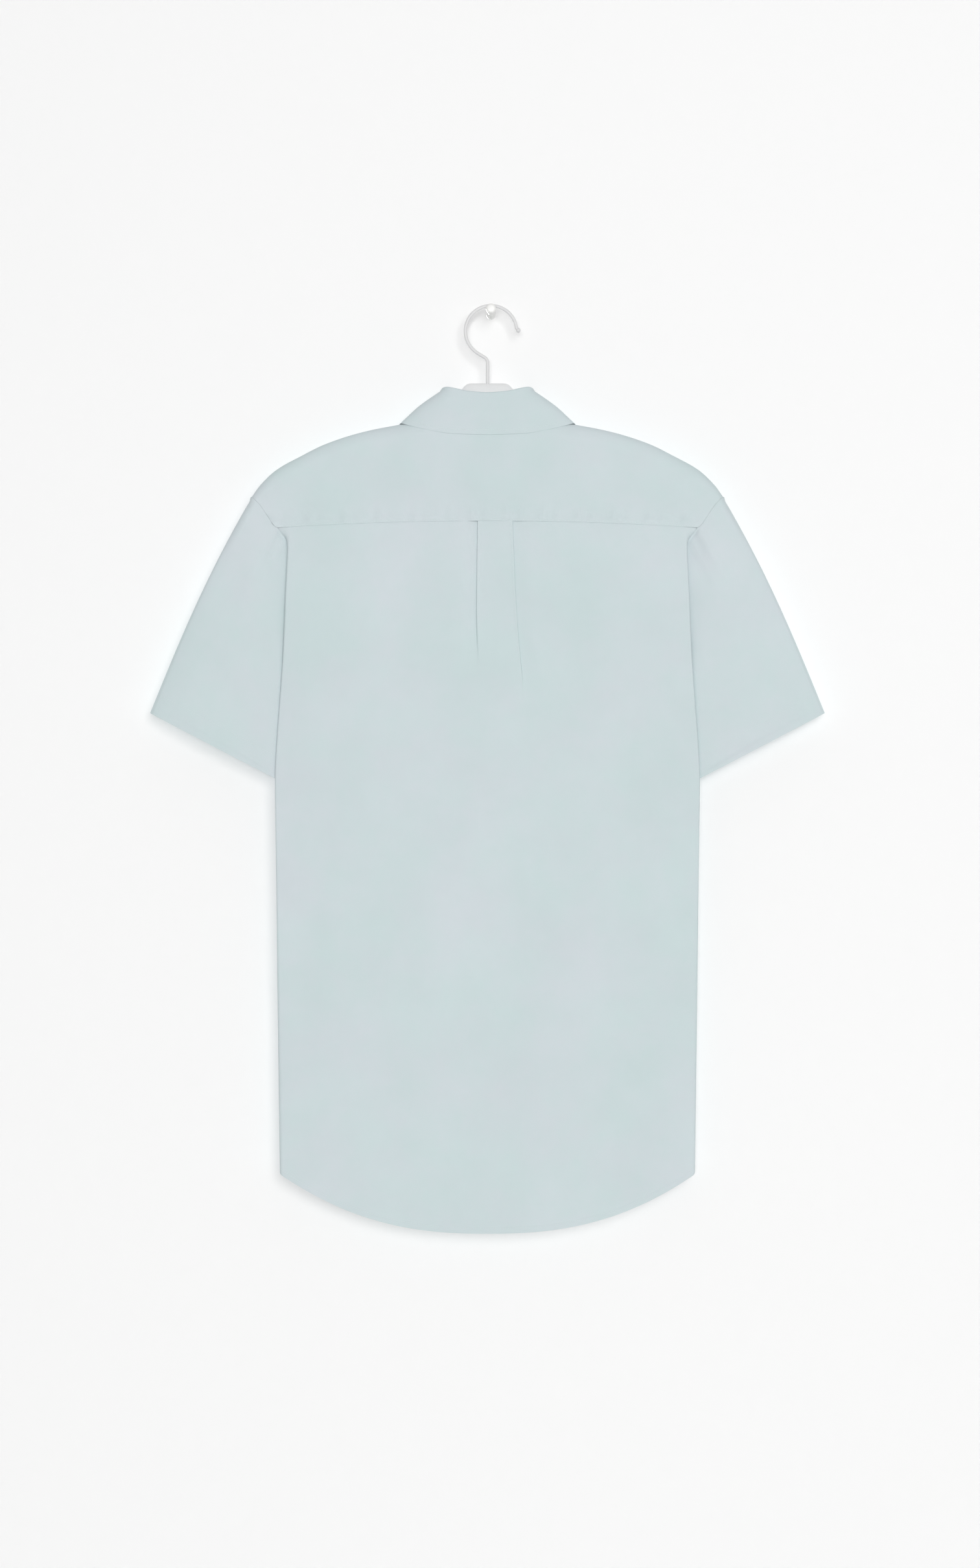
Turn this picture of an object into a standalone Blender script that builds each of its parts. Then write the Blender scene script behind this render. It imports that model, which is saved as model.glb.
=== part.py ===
"""A short-sleeved button-up shirt on a plain hanger, hung from a round wall peg.

The shirt hangs almost flat, its back towards the viewer and its buttoned side towards the wall.
The wall is the plane y = 0, the shirt is at y < 0, x runs across it and z is up. The origin is the
middle of the peg's wall face. Sizes in the tables are millimetres, and `metres` turns them at the end.

Every piece of cloth is one sheet. A function gives the middle of its wall at a row and a column, a
grid is moved onto those points, and a Solidify modifier gives the wall its thickness.
"""

import math
from collections import namedtuple

import bmesh
import bpy
from mathutils import Vector

# ---------------------------------------------------------------- driving sizes, in millimetres

CENTRE = -3.6                   # the garment's middle hangs a little left of the peg
WALL = 1.0                      # thickness of every cloth piece
SEAM = 0.3                      # gap between two pieces sewn edge to edge
TRIM = 0.2                      # each edge at a side seam or an armhole stops this short of the seam

BACK_DEPTH = -29.0              # middle of the back panel's wall, in front of the wall at 0
FRONT_DEPTH = -10.5             # middle of the front panels' wall
MIDDLE_DEPTH = (BACK_DEPTH + FRONT_DEPTH) / 2
HALF_DEPTH = (FRONT_DEPTH - BACK_DEPTH) / 2

SHOULDER_ROUND = 14.0           # height over which the cloth rounds over the hanger's arm
SHOULDER_REACH = 236.9          # the yoke's armhole edge at the shoulder point
SPRING_REACH = 231.3            # and where the cloth begins to round over the hanger
YOKE_EDGE_CURVE = 0.63          # how strongly the yoke's armhole edges bow between these
YOKE_CORNER = (210.6, -219.0)   # where the yoke's seams meet the armholes
YOKE_SEAM_MIDDLE = -212.1
NECK_HALF_WIDTH = 66.0
NECK_FRONT_HEIGHT = -149.0      # front yoke seam, at the neckline
NECKLINE_BOTTOM = -190.0

TUCK_START = -217.0             # below the yoke the sides begin to fold under
TUCK_FULL = -246.0              # and here they are folded flat
TUCK_RADIUS = 1.75
TUCK_RADIUS_LOW = 3.4           # the folds are softer near the hem
SOFTER_FROM = -496.0
SOFTER_FULL = -776.0
LEAST_TURN = 0.03               # above the tucks the sides still turn under by this share of a fold
ARMHOLE_TURN = -265.0           # below this the armhole curves in to the underarm
ARMHOLE_REACH = 64.0            # by this much, unfolded
UNDERARM = -390.0
SIDE_SEAM_ACROSS = 151.0
FRONT_INSET = 3.0               # the front's fold lies this far inside the back's
INSET_FROM = -290.0
INSET_FULL = -390.0

BACK_HEM = -927.6
FRONT_HEM = -905.0
SIDE_HEM = -840.0
HEM_CORNER_REACH = 208.0
HEM_CORNER_RISE = 59.3

PLEAT_UNDERLAP = 13.5
LEAST_UNDERLAP = 0.5
PLEAT_RADIUS = 0.75
PLEAT_CLOSED = -212.0           # the pleat is fully folded at the yoke
PLEAT_RELEASED = -350.0         # and has let go of its underlap here
PLEAT_FLAT = -450.0
PLEAT_RISE = 9.0                # beside the box the panel rises from under it within this width
PLEAT_ROOT = 2.5                # the cloth under the box runs on this far past the inner fold

PLACKET_WIDTH = 35.0
PLACKET_WALL = 1.4
UNDERLAP_STEP = 2.1             # the right front dips this far to pass under the placket
UNDERLAP_END = 25.5             # its dip ends this far from the middle
UNDERLAP_RISE = 7.0             # over this width

Height = namedtuple("Height", "across height")
Width = namedtuple("Width", "height across")
Pleat = namedtuple("Pleat", "height left right")
YokeRow = namedtuple("YokeRow", "across neck_turn side_turn")
Roll = namedtuple("Roll", "station across depth height")
Arm = namedtuple("Arm", "across top bottom")
Cuff = namedtuple("Cuff", "share half_depth")
Turned = namedtuple("Turned", "along radius")
Bend = namedtuple("Bend", "up out")
ArmSize = namedtuple("ArmSize", "across sink thickness")

# The shoulder's top line, from the middle of the neck to the tip of the shoulder.
SHOULDER_LINE = [
    Height(0, -103.0), Height(40, -104.5), Height(66, -110.6), Height(89, -114.7),
    Height(115, -119.6), Height(138, -125.5), Height(165, -135.0), Height(187, -146.0),
    Height(212, -160.0), Height(228.5, -175.5), Height(236.9, -187.0),
]

# Where the back folds under at the side, down its length.
FOLD_EDGE = [
    Width(-868, 208.3), Width(-712, 210.3), Width(-560, 212.0), Width(-472, 213.1),
    Width(-437, 211.6), Width(-398, 208.8), Width(-340, 204.8), Width(-279, 202.3),
    Width(-219, 199.2),
]

# Unfolded distance from the middle to the armhole's upper edge. Lower down it follows an ellipse.
ARMHOLE_EDGE = [
    Width(-265, 207.5), Width(-252, 206.6), Width(-241, 205.4), Width(-231, 205.0),
    Width(-225, 207.3), Width(-219, 210.6),
]

# The two folds of the box pleat. It hangs a little to one side.
PLEAT_EDGES = [
    Pleat(-900, -14.0, 48.0), Pleat(-520, -9.0, 42.0), Pleat(-380, -7.2, 35.1),
    Pleat(-300, -10.6, 29.0), Pleat(-212, -9.8, 25.1),
]

# Rows of the yoke, from its back seam over the shoulder to its front seam. A turn is 0 at the back
# seam, 1 to 2 over the round of the shoulder and 3 at the front seam. Each row starts this far across,
# at neck_turn, and ends on the armhole at side_turn. From the third row on it starts on the neckline.
YOKE_ROWS = [
    YokeRow(0.0, 0.0, 0.0), YokeRow(0.0, 0.5, 0.4), YokeRow(0.0, 1.0, 0.78),
    YokeRow(17.0, 1.015, 1.0), YokeRow(34.0, 1.05, 1.14), YokeRow(47.0, 1.12, 1.26),
    YokeRow(57.5, 1.25, 1.36), YokeRow(61.2, 1.38, 1.43), YokeRow(63.0, 1.5, 1.5),
    YokeRow(64.2, 1.62, 1.57), YokeRow(65.1, 1.78, 1.68),
    YokeRow(65.6, 2.0, 1.84), YokeRow(66.0, 2.5, 2.3), YokeRow(66.0, 3.0, 3.0),
]
YOKE_COLUMNS = (0.0, 0.1, 0.22, 0.34, 0.46, 0.57, 0.67, 0.76, 0.85, 0.93, 1.0)

# The collar's fold line, from the middle of the back (0) to the middle of the front (1).
FOLD_LINE = [
    Roll(0.00, 0.0, -30.4, -86.0), Roll(0.12, 20.0, -30.4, -84.6), Roll(0.20, 33.0, -30.2, -81.8),
    Roll(0.26, 40.5, -27.4, -80.4), Roll(0.32, 44.2, -22.0, -81.6), Roll(0.37, 45.4, -16.0, -86.0),
    Roll(0.42, 45.8, -12.3, -93.0), Roll(0.50, 45.0, -11.3, -106.0), Roll(0.60, 41.5, -10.9, -123.0),
    Roll(0.74, 32.0, -10.6, -141.5), Roll(0.88, 16.0, -10.5, -155.5), Roll(1.00, 0.0, -10.5, -160.5),
]

# The collar's outer edge, on the same stations.
OUTER_EDGE = [
    Roll(0.00, 0.0, -31.6, -125.7), Roll(0.10, 33.8, -31.6, -124.7), Roll(0.18, 61.0, -31.2, -120.6),
    Roll(0.25, 80.0, -28.4, -115.6), Roll(0.32, 88.6, -21.5, -112.6), Roll(0.36, 89.4, -15.6, -113.2),
    Roll(0.40, 89.6, -10.3, -118.5),
    Roll(0.50, 84.5, -8.2, -142.0), Roll(0.62, 74.5, -7.2, -168.0), Roll(0.76, 62.0, -7.2, -195.0),
    Roll(0.88, 50.0, -7.2, -217.0), Roll(1.00, 3.5, -7.8, -165.0),
]

# The fall rolls out and over from the stand's top, and hangs from the last of these.
COLLAR_ROLL = [Bend(0.6, 0.0), Bend(1.8, 0.45), Bend(2.3, 1.6), Bend(1.4, 2.8), Bend(-2.0, 3.0)]
COLLAR_BELLY = 1.2              # how far it bows outwards between the roll and its edge
COLLAR_END = 0.985              # the fall ends this near the middle of the front

STAND_GAP = 0.7                 # from the neckline's cloth to the stand's foot
STAND_END = 11.0                # each end of the stand laps this far past the middle
STAND_END_RISE = 0.6

# The hanger's crown, top and bottom across the garment. Its arms go on just under the shoulder line.
CROWN = [
    Arm(0, -72.7, -103.0), Arm(17, -72.7, -104.0), Arm(21, -73.8, -104.6), Arm(27, -80.5, -106.0),
    Arm(45, -101.0, -114.0), Arm(56, -111.3, -122.0), Arm(68, -114.2, -126.0),
]
ARM_SIZES = [
    ArmSize(89, 0.0, 13.0), ArmSize(115, 0.0, 13.0), ArmSize(138, 0.0, 13.0), ArmSize(165, 0.0, 13.0),
    ArmSize(187, 0.5, 12.0), ArmSize(199, 1.75, 9.5), ArmSize(206, 3.5, 6.0), ArmSize(208.5, 5.5, 2.0),
]
ARM_CLEARANCE = 1.1             # from the arm's top to the middle of the yoke's wall
HANGER_HALF_DEPTH = 5.0
TIP_DEPTH = 1.1                 # towards its tips the bar is this much deeper than it is high
LEAST_HALF_DEPTH = 0.8
BAR_SQUARENESS = 2.3            # 2 is an ellipse, and more is squarer

# The sleeve's hem, from the top fold (0) to the underarm fold (1).
SLEEVE_OUTER = (339.5, -405.0)
SLEEVE_INNER = (180.0, -488.0)
SLEEVE_BOW = 4.7                # the sleeve's top edge swells this far outside a straight line
CUFF_OPENING = [
    Cuff(0.0, 0.0), Cuff(0.02, 2.6), Cuff(0.08, 5.6), Cuff(0.2, 8.0), Cuff(0.34, 8.8),
    Cuff(0.5, 8.2), Cuff(0.62, 6.2), Cuff(0.74, 3.9), Cuff(0.84, 3.05), Cuff(0.97, 2.9),
    Cuff(1.0, 0.0),
]
SLEEVE_TOP_NORMAL = Vector((0.905, 0, 0.426))
SLEEVE_IN_GROOVE = 2.95         # half the depth of the sleeve where it lies inside the side tuck
SLEEVE_ROOM = 6.3               # how much deeper it may be outside the tuck
SLEEVE_ROOM_RISE = 30.0         # within this width
SEAM_TURN = 2.8                 # where a sleeve doubles back on the armhole, its layers are this far apart
UNDERARM_GAP = 0.7              # added to the sleeve's gap at the bottom of the armhole

# Shares of the side route: fold, tuck and turn have 4, 2 and 3 of its 9 columns where it is short.
FOLD_SHARE = 4 / 9
TUCK_SHARE = 6 / 9
SPREAD_HEIGHT = 60.0            # below the tucks the columns move to their own parts within this height
TUCK_END = 0.72                 # the last columns begin this far along what the fold leaves
TUCK_END_LOW = 0.85             # and this far at the underarm

# Rows down the side of the front and back panels. The first ones follow the armhole.
ARMHOLE_ROWS = [
    YOKE_CORNER[1] - SEAM / 2, -222, -225, -228, -231, -234, -238, -246, -268, -304, -338, -361, -375,
    -383, -388, UNDERARM,
]
SIDE_ROWS = ARMHOLE_ROWS[:-1] + [UNDERARM - TRIM, -430, -480, -560, -680, -780, SIDE_HEM]

BUTTON_RADIUS = 5.6
BUTTON_HEIGHTS = [-176, -250, -338, -426, -514, -602, -690]

WIRE_RADIUS = 1.7
WIRE_DEPTH = -20.0
HOOK_RADIUS = 25.8
PEG_NECK_RADIUS = 3.5
HOOK_CENTRE_HEIGHT = PEG_NECK_RADIUS + SEAM + WIRE_RADIUS - HOOK_RADIUS
STEM_ACROSS = -3.5
STEM_BEND_HEIGHT = -48.6
STEM_BEND = [Height(-0.2, -1.6), Height(0.0, -4.5)]     # from that bend into the straight stem
HOOK_FROM = 8                   # degrees, from the garment's right over the top
HOOK_TO = 240
TIP_LEAN = (1.0, -1.4)          # the tip leans out a little below the round
CROWN_HEIGHT = -72.7
STEM_SEAT = 14.0                # how deep the hole in the hanger's crown is
STEM_FOOT_GAP = 1.0             # the wire ends this far above its bottom
DRILL_ABOVE = 6.0               # the hole's cutter starts this far above the crown

# ---------------------------------------------------------------- small tools


def metres(across, depth, height):
    """A point in millimetres from the garment's middle, as a vector in metres."""
    return Vector((across + CENTRE, depth, height)) * 0.001


def ease(value):
    """0 below 0, 1 above 1 and a smooth step between."""
    value = min(max(value, 0.0), 1.0)
    return value * value * (3.0 - 2.0 * value)


def mix(start, end, share):
    return start + (end - start) * share


def follow(rows, key, column, at):
    """Smooth value of a column, read where the key column is `at`, with no overshoot."""
    keys = [getattr(row, key) for row in rows]
    values = [getattr(row, column) for row in rows]
    if keys[0] > keys[-1]:
        keys.reverse()
        values.reverse()
    if at <= keys[0]:
        return values[0]
    if at >= keys[-1]:
        return values[-1]
    steps = [(values[i + 1] - values[i]) / (keys[i + 1] - keys[i]) for i in range(len(keys) - 1)]
    slopes = [steps[0]]
    for before, after in zip(steps, steps[1:]):
        flat = before * after <= 0
        slopes.append(0.0 if flat else 2 * before * after / (before + after))
    slopes.append(steps[-1])
    i = max(n for n in range(len(steps)) if keys[n] <= at)
    span = keys[i + 1] - keys[i]
    t = (at - keys[i]) / span
    return (values[i] * (1 + 2 * t) * (1 - t) ** 2 + slopes[i] * span * t * (1 - t) ** 2
            + values[i + 1] * t * t * (3 - 2 * t) + slopes[i + 1] * span * t * t * (t - 1))


def walk(start, pieces, distance):
    """Go along pieces of (length, turn) from (x, y, heading), and give where that ends."""
    x, y, heading = start
    for length, turn in pieces + [(1e6, 0.0)]:
        part = min(distance, length)
        bend = turn * part / length
        chord = part * math.sin(bend / 2) / (bend / 2) if abs(bend) > 1e-9 else part
        x += chord * math.cos(heading + bend / 2)
        y += chord * math.sin(heading + bend / 2)
        heading += bend
        distance -= part
        if distance <= 0:
            break
    return x, y, heading


def material(name, colour, roughness):
    made = bpy.data.materials.new(name)
    made.use_nodes = True
    shader = made.node_tree.nodes["Principled BSDF"]
    shader.inputs["Base Color"].default_value = (*colour, 1.0)
    shader.inputs["Roughness"].default_value = roughness
    return made


def add_object(name, mesh_maker, surface):
    """Turn a bmesh into a named object with its material."""
    mesh = bpy.data.meshes.new(name)
    mesh_maker.to_mesh(mesh)
    mesh_maker.free()
    made = bpy.data.objects.new(name, mesh)
    made.data.materials.append(surface)
    bpy.context.scene.collection.objects.link(made)
    mesh.shade_smooth()
    mesh.set_sharp_from_angle(angle=math.radians(50))
    return made


def cloth(name, points, surface, thickness=WALL, ring=False, mirrored=False):
    """A sheet of cloth through rows of points, thickened evenly on both sides.

    A ring's last column is its first one again. A mirrored sheet is the right half of a piece.
    """
    rows, columns = len(points), len(points[0])
    sheet = bmesh.new()
    bmesh.ops.create_grid(sheet, x_segments=columns - 1, y_segments=rows - 1, size=0.5)
    for vertex in sheet.verts:
        row = round((vertex.co.y + 0.5) * (rows - 1))
        column = round((vertex.co.x + 0.5) * (columns - 1))
        vertex.co = metres(*points[row][column]) - metres(0, 0, 0)
    if ring:
        bmesh.ops.remove_doubles(sheet, verts=sheet.verts, dist=1e-6)
    made = add_object(name, sheet, surface)
    made.location = metres(0, 0, 0)
    if mirrored:
        mirror = made.modifiers.new("other half", "MIRROR")
        mirror.merge_threshold = 1e-5
    wall = made.modifiers.new("wall", "SOLIDIFY")
    wall.thickness = thickness * 0.001
    wall.offset = 0.0
    return made


# ---------------------------------------------------------------- the body's forms


def yoke_seam_height(across):
    """The back yoke seam sags a little at its ends."""
    return mix(YOKE_SEAM_MIDDLE, YOKE_CORNER[1], (across / YOKE_CORNER[0]) ** 2)


def front_seam_height(across):
    """The front yoke seam, straight from the neckline to the armhole."""
    share = (abs(across) - NECK_HALF_WIDTH) / (YOKE_CORNER[0] - NECK_HALF_WIDTH)
    return mix(NECK_FRONT_HEIGHT, YOKE_CORNER[1], share)


def shoulder_point(across, turn):
    """A point of the yoke's surface: up the back, over the shoulder and down the front."""
    ridge = follow(SHOULDER_LINE, "across", "height", abs(across))
    spring = ridge - SHOULDER_ROUND
    if turn <= 1:
        return across, BACK_DEPTH, mix(yoke_seam_height(across), spring, turn)
    if turn >= 2:
        return across, FRONT_DEPTH, mix(spring, front_seam_height(across), turn - 2)
    angle = math.pi * (turn - 1)
    depth = MIDDLE_DEPTH - HALF_DEPTH * math.cos(angle)
    return across, depth, spring + SHOULDER_ROUND * math.sin(angle)


def yoke_side(turn):
    """How far across the yoke's armhole edge lies, from the seam over the shoulder point."""
    lift = min(turn, 3 - turn)
    if lift <= 1:
        return mix(YOKE_CORNER[0], SPRING_REACH, lift ** YOKE_EDGE_CURVE)
    return mix(SPRING_REACH, SHOULDER_REACH, math.sin(math.pi * (lift - 1)))


def fold_radius(height):
    """The side folds are tight below the yoke and softer near the hem."""
    low = ease((SOFTER_FROM - height) / (SOFTER_FROM - SOFTER_FULL))
    return mix(TUCK_RADIUS, TUCK_RADIUS_LOW, low)


def side_route(height, inset):
    """The route in plan from the flat panel round its side fold to the side seam."""
    radius = fold_radius(height)
    turn = math.pi * max(LEAST_TURN, ease((TUCK_START - height) / (TUCK_START - TUCK_FULL)))
    start = follow(FOLD_EDGE, "height", "across", height) - radius - inset
    groove = HALF_DEPTH - 2 * radius
    strip = start - SIDE_SEAM_ACROSS - groove
    pieces = [(math.pi * radius, turn), (strip, 0.0), (math.pi / 2 * groove, -math.pi / 2)]
    return start, pieces


def armhole_slope(height):
    """Share of the way down the armhole's lower curve, which is a quarter of an ellipse."""
    return min(max((ARMHOLE_TURN - height) / (ARMHOLE_TURN - UNDERARM), 0.0), 1.0)


def armhole_lean(height):
    """How much the cloth that leaves the armhole's edge there goes outwards, and how much up."""
    if height <= UNDERARM:
        return 1.0, 0.0
    depth = armhole_slope(height)
    drop = (ARMHOLE_TURN - UNDERARM) * math.sqrt(1 - depth * depth)
    rise = ARMHOLE_REACH * depth
    return drop / math.hypot(drop, rise), rise / math.hypot(drop, rise)


def side_length(height, inset):
    """Length of the side route that is cloth: to the armhole's edge, or to the side seam."""
    start, pieces = side_route(height, inset)
    full = sum(length for length, _ in pieces)
    if height <= UNDERARM:
        return full
    underarm_reach = start + full + inset
    top = follow(ARMHOLE_EDGE, "height", "across", height)
    depth = armhole_slope(height)
    reach = underarm_reach - (underarm_reach - top) * math.sqrt(1 - depth * depth)
    return reach - start - inset


def front_inset(height):
    """The front is as wide as the back at the yoke, and a little narrower lower down."""
    return FRONT_INSET * ease((INSET_FROM - height) / (INSET_FROM - INSET_FULL))


def back_pleat(height, side):
    """The route in plan of one half of the box pleat, from its middle outwards."""
    left = follow(PLEAT_EDGES, "height", "left", height)
    right = follow(PLEAT_EDGES, "height", "right", height)
    middle, half = (left + right) / 2, (right - left) / 2
    under = PLEAT_UNDERLAP * ease((height - PLEAT_RELEASED) / (PLEAT_CLOSED - PLEAT_RELEASED))
    fold = max(0.02, ease((height - PLEAT_FLAT) / (PLEAT_RELEASED - PLEAT_FLAT)))
    turn = math.pi * fold
    bend = math.pi * PLEAT_RADIUS
    pieces = [(half - PLEAT_RADIUS, 0.0), (bend, turn), (under + LEAST_UNDERLAP, 0.0), (bend, -turn),
              (under + PLEAT_ROOT, 0.0)]
    return middle * side, pieces


def hem_height(reach, full_reach, middle):
    """Height of a curved shirt tail at an unfolded distance from the middle."""
    if middle == FRONT_HEM:
        return mix(middle, SIDE_HEM, (reach / full_reach) ** 2.2)
    if reach <= HEM_CORNER_REACH:
        return middle + HEM_CORNER_RISE * (reach / HEM_CORNER_REACH) ** 2.4
    share = (reach - HEM_CORNER_REACH) / (full_reach - HEM_CORNER_REACH)
    return mix(middle + HEM_CORNER_RISE, SIDE_HEM, math.sin(share * math.pi / 2))


def side_point(height, inset, group, share, trim):
    """Plan position and heading in the fold, the tuck or the turn at the side seam."""
    start, pieces = side_route(height, inset)
    length = side_length(height, inset) - trim / max(armhole_lean(height)[0], 0.25)
    spread = ease((TUCK_FULL - height) / SPREAD_HEIGHT)
    fold = mix(length * FOLD_SHARE, min(pieces[0][0], 0.8 * length), spread)
    end = mix(TUCK_END, TUCK_END_LOW, armhole_slope(height) ** 6)
    tuck = mix(length * TUCK_SHARE, min(fold + pieces[1][0], mix(fold, length, end)), spread)
    distance = {
        "fold": mix(0.0, fold, share),
        "tuck": mix(fold, tuck, share),
        "turn": mix(tuck, length, share),
    }[group]
    x, y, heading = walk((start, BACK_DEPTH, 0.0), pieces, distance)
    return x, y, heading, start + distance


def share_columns(group, count):
    """Columns outwards along one group of the section, each with its share of the way along it."""
    return [(group, (n + 1) / count) for n in range(count)]


TURN_COLUMNS = [("turn", share) for share in (0.4, 0.85, 1.0)]
BACK_COLUMNS = ([("box", 0.0)] + share_columns("box", 1) + share_columns("pleat edge", 3)
                + share_columns("under", 1) + share_columns("pleat root", 3)
                + share_columns("hidden", 1) + share_columns("rise", 2)
                + [("panel", share) for share in (0.4, 0.75, 1.0)]
                + share_columns("fold", 4) + share_columns("tuck", 2) + TURN_COLUMNS)
NECKLINE_ANGLES = (90, 72, 54, 36, 18, 0)
NECKLINE_ACROSS = [NECK_HALF_WIDTH * math.cos(math.radians(angle)) for angle in NECKLINE_ANGLES]
FRONT_COLUMNS = ([("neckline", NECKLINE_ACROSS[1]), ("neckline", 27.0)]
                 + [("neckline", across) for across in NECKLINE_ACROSS[2:]]
                 + [("panel", share) for share in (0.33, 0.68, 1.0)]
                 + share_columns("fold", 4) + share_columns("tuck", 2) + TURN_COLUMNS)


def back_plan(height, side, group, share, trim=TRIM):
    """Plan position of one column of the back, and its unfolded reach."""
    middle, pieces = back_pleat(height, side)
    if group in ("fold", "tuck", "turn"):
        x, y, _, reach = side_point(height, 0.0, group, share, trim)
        return x, y, reach
    ends = [0.0]
    for length, _ in pieces:
        ends.append(ends[-1] + length)
    groups = ("box", "pleat edge", "under", "pleat root", "hidden")
    if group in groups:
        index = groups.index(group)
        x, y, _ = walk((middle, BACK_DEPTH, 0.0), pieces, mix(ends[index], ends[index + 1], share))
        return x, y, x
    x, y, _ = walk((middle, BACK_DEPTH, 0.0), pieces, ends[-1])
    if group == "rise":
        return x + PLEAT_RISE * share, mix(y, BACK_DEPTH, ease(share)), x
    across = mix(x + PLEAT_RISE, side_route(height, 0.0)[0], share)
    return across, BACK_DEPTH, across


def back_point(side, column, row_height):
    """The middle of the back panel's wall."""
    group, share = column
    down = (SIDE_ROWS[0] - row_height) / (SIDE_ROWS[0] - SIDE_ROWS[-1])
    reach = abs(back_plan(SIDE_HEM, side, group, share)[2])
    bottom = hem_height(reach, back_plan(SIDE_HEM, side, "turn", 1.0)[2], BACK_HEM)
    seam = yoke_seam_height(back_plan(SIDE_ROWS[0], side, group, share)[0])
    top = max(seam - SEAM / 2, SIDE_ROWS[0])
    if column == BACK_COLUMNS[-1]:
        top = SIDE_ROWS[0]
    height = mix(top, bottom, down)
    x, y, _ = back_plan(height, side, group, share)
    return x * side, y, height


def front_top(across):
    """Top of a front panel: the neckline near the middle, and the yoke's seam beyond."""
    if across < NECK_HALF_WIDTH:
        drop = NECK_FRONT_HEIGHT - NECKLINE_BOTTOM
        return NECK_FRONT_HEIGHT - drop * math.sqrt(1 - (max(across, 0) / NECK_HALF_WIDTH) ** 2)
    return front_seam_height(across)


def front_depth(across, side):
    """The right front dips to pass under the placket. side is -1 on the wearer's left."""
    if side < 0:
        return FRONT_DEPTH
    return FRONT_DEPTH - UNDERLAP_STEP * ease((UNDERLAP_END - across) / UNDERLAP_RISE)


def front_columns(side):
    """The left front ends at the placket, and the right front runs on beneath it."""
    inner = [PLACKET_WIDTH / 2 + SEAM] if side < 0 else [-PLACKET_WIDTH / 2 + 1.5, 0.0]
    return [("neckline", across) for across in inner] + FRONT_COLUMNS


def front_plan(height, side, group, share, trim=TRIM):
    """Plan position of one column of a front panel, and its unfolded reach."""
    inset = front_inset(height)
    if group == "neckline":
        return share, front_depth(share, side), share
    if group == "panel":
        across = mix(NECK_HALF_WIDTH, side_route(height, inset)[0], share)
        return across, FRONT_DEPTH, across
    x, y, _, reach = side_point(height, inset, group, share, trim)
    return x, 2 * MIDDLE_DEPTH - y, reach


def front_point(side, column, row_height):
    """The middle of a front panel's wall."""
    group, share = column
    down = (SIDE_ROWS[0] - row_height) / (SIDE_ROWS[0] - SIDE_ROWS[-1])
    reach = abs(front_plan(SIDE_HEM, side, group, share)[2])
    bottom = hem_height(reach, front_plan(SIDE_HEM, side, "turn", 1.0)[2], FRONT_HEM)
    top = front_top(front_plan(SIDE_ROWS[0], side, group, share)[0]) - SEAM / 2
    if column == FRONT_COLUMNS[-1]:
        top = SIDE_ROWS[0]
    height = mix(top, bottom, down)
    x, y, _ = front_plan(height, side, group, share)
    return x * side, y, height


# ---------------------------------------------------------------- cloth pieces


def yoke_point(row, share, trim=TRIM):
    """A point of the yoke's right half: share is 0 at the middle or the neck and 1 at the armhole."""
    turn = mix(row.neck_turn, row.side_turn, ease(share))
    return shoulder_point(mix(row.across, yoke_side(row.side_turn) - trim, share), turn)


def make_yoke(surface):
    points = [[yoke_point(row, share) for share in YOKE_COLUMNS] for row in YOKE_ROWS]
    return cloth("yoke", points, surface, mirrored=True)


def make_back(surface):
    points = []
    for row in SIDE_ROWS:
        left = [back_point(-1, column, row) for column in reversed(BACK_COLUMNS[1:])]
        points.append(left + [back_point(1, column, row) for column in BACK_COLUMNS])
    return cloth("back", points, surface)


def make_front(name, side, surface):
    columns = front_columns(side)
    points = [[front_point(side, column, row) for column in columns] for row in SIDE_ROWS]
    return cloth(name, points, surface)


def make_placket(surface):
    """A folded band down the left front's edge, from the neckline to the hem."""
    edges = (-PLACKET_WIDTH / 2, -PLACKET_WIDTH / 4, 0.0, PLACKET_WIDTH / 4, PLACKET_WIDTH / 2)
    levels = 12
    points = []
    for level in range(levels + 1):
        row = []
        for across in edges:
            top = front_top(abs(across)) - SEAM / 2
            bottom = hem_height(abs(across), front_plan(SIDE_HEM, -1, "turn", 1.0)[2], FRONT_HEM)
            row.append((across, FRONT_DEPTH, mix(top, bottom, level / levels)))
        points.append(row)
    return cloth("placket", points, surface, thickness=PLACKET_WALL)


# ---------------------------------------------------------------- collar


def neck_route():
    """The right half of the neckline, from the middle of the back to the middle of the front."""
    route = [Vector(shoulder_point(row.across, row.neck_turn)) for row in YOKE_ROWS[2:]]
    for across in reversed(NECKLINE_ACROSS[:-1]):
        route.append(Vector((across, FRONT_DEPTH, front_top(across))))
    return route


def neck_stations():
    """Each point's share of the way round the right half of the neckline."""
    route = neck_route()
    lengths = [0.0]
    for before, after in zip(route, route[1:]):
        lengths.append(lengths[-1] + (after - before).length)
    return [length / lengths[-1] for length in lengths]


def fold_line(station, side):
    row = [follow(FOLD_LINE, "station", column, station) for column in ("across", "depth", "height")]
    return Vector((row[0] * side, row[1], row[2]))


def front_lap(across, side):
    """The stand's right half steps in near the middle, to lie under the left half's end."""
    return front_depth(across, side) - FRONT_DEPTH


def neck_foot(station, side):
    """The neckline at a share of the way round."""
    route, stations = neck_route(), neck_stations()
    index = max(n for n in range(len(stations) - 1) if stations[n] <= station)
    share = (station - stations[index]) / (stations[index + 1] - stations[index])
    foot = route[index].lerp(route[index + 1], share)
    return Vector((foot.x * side, foot.y, foot.z))


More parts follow.
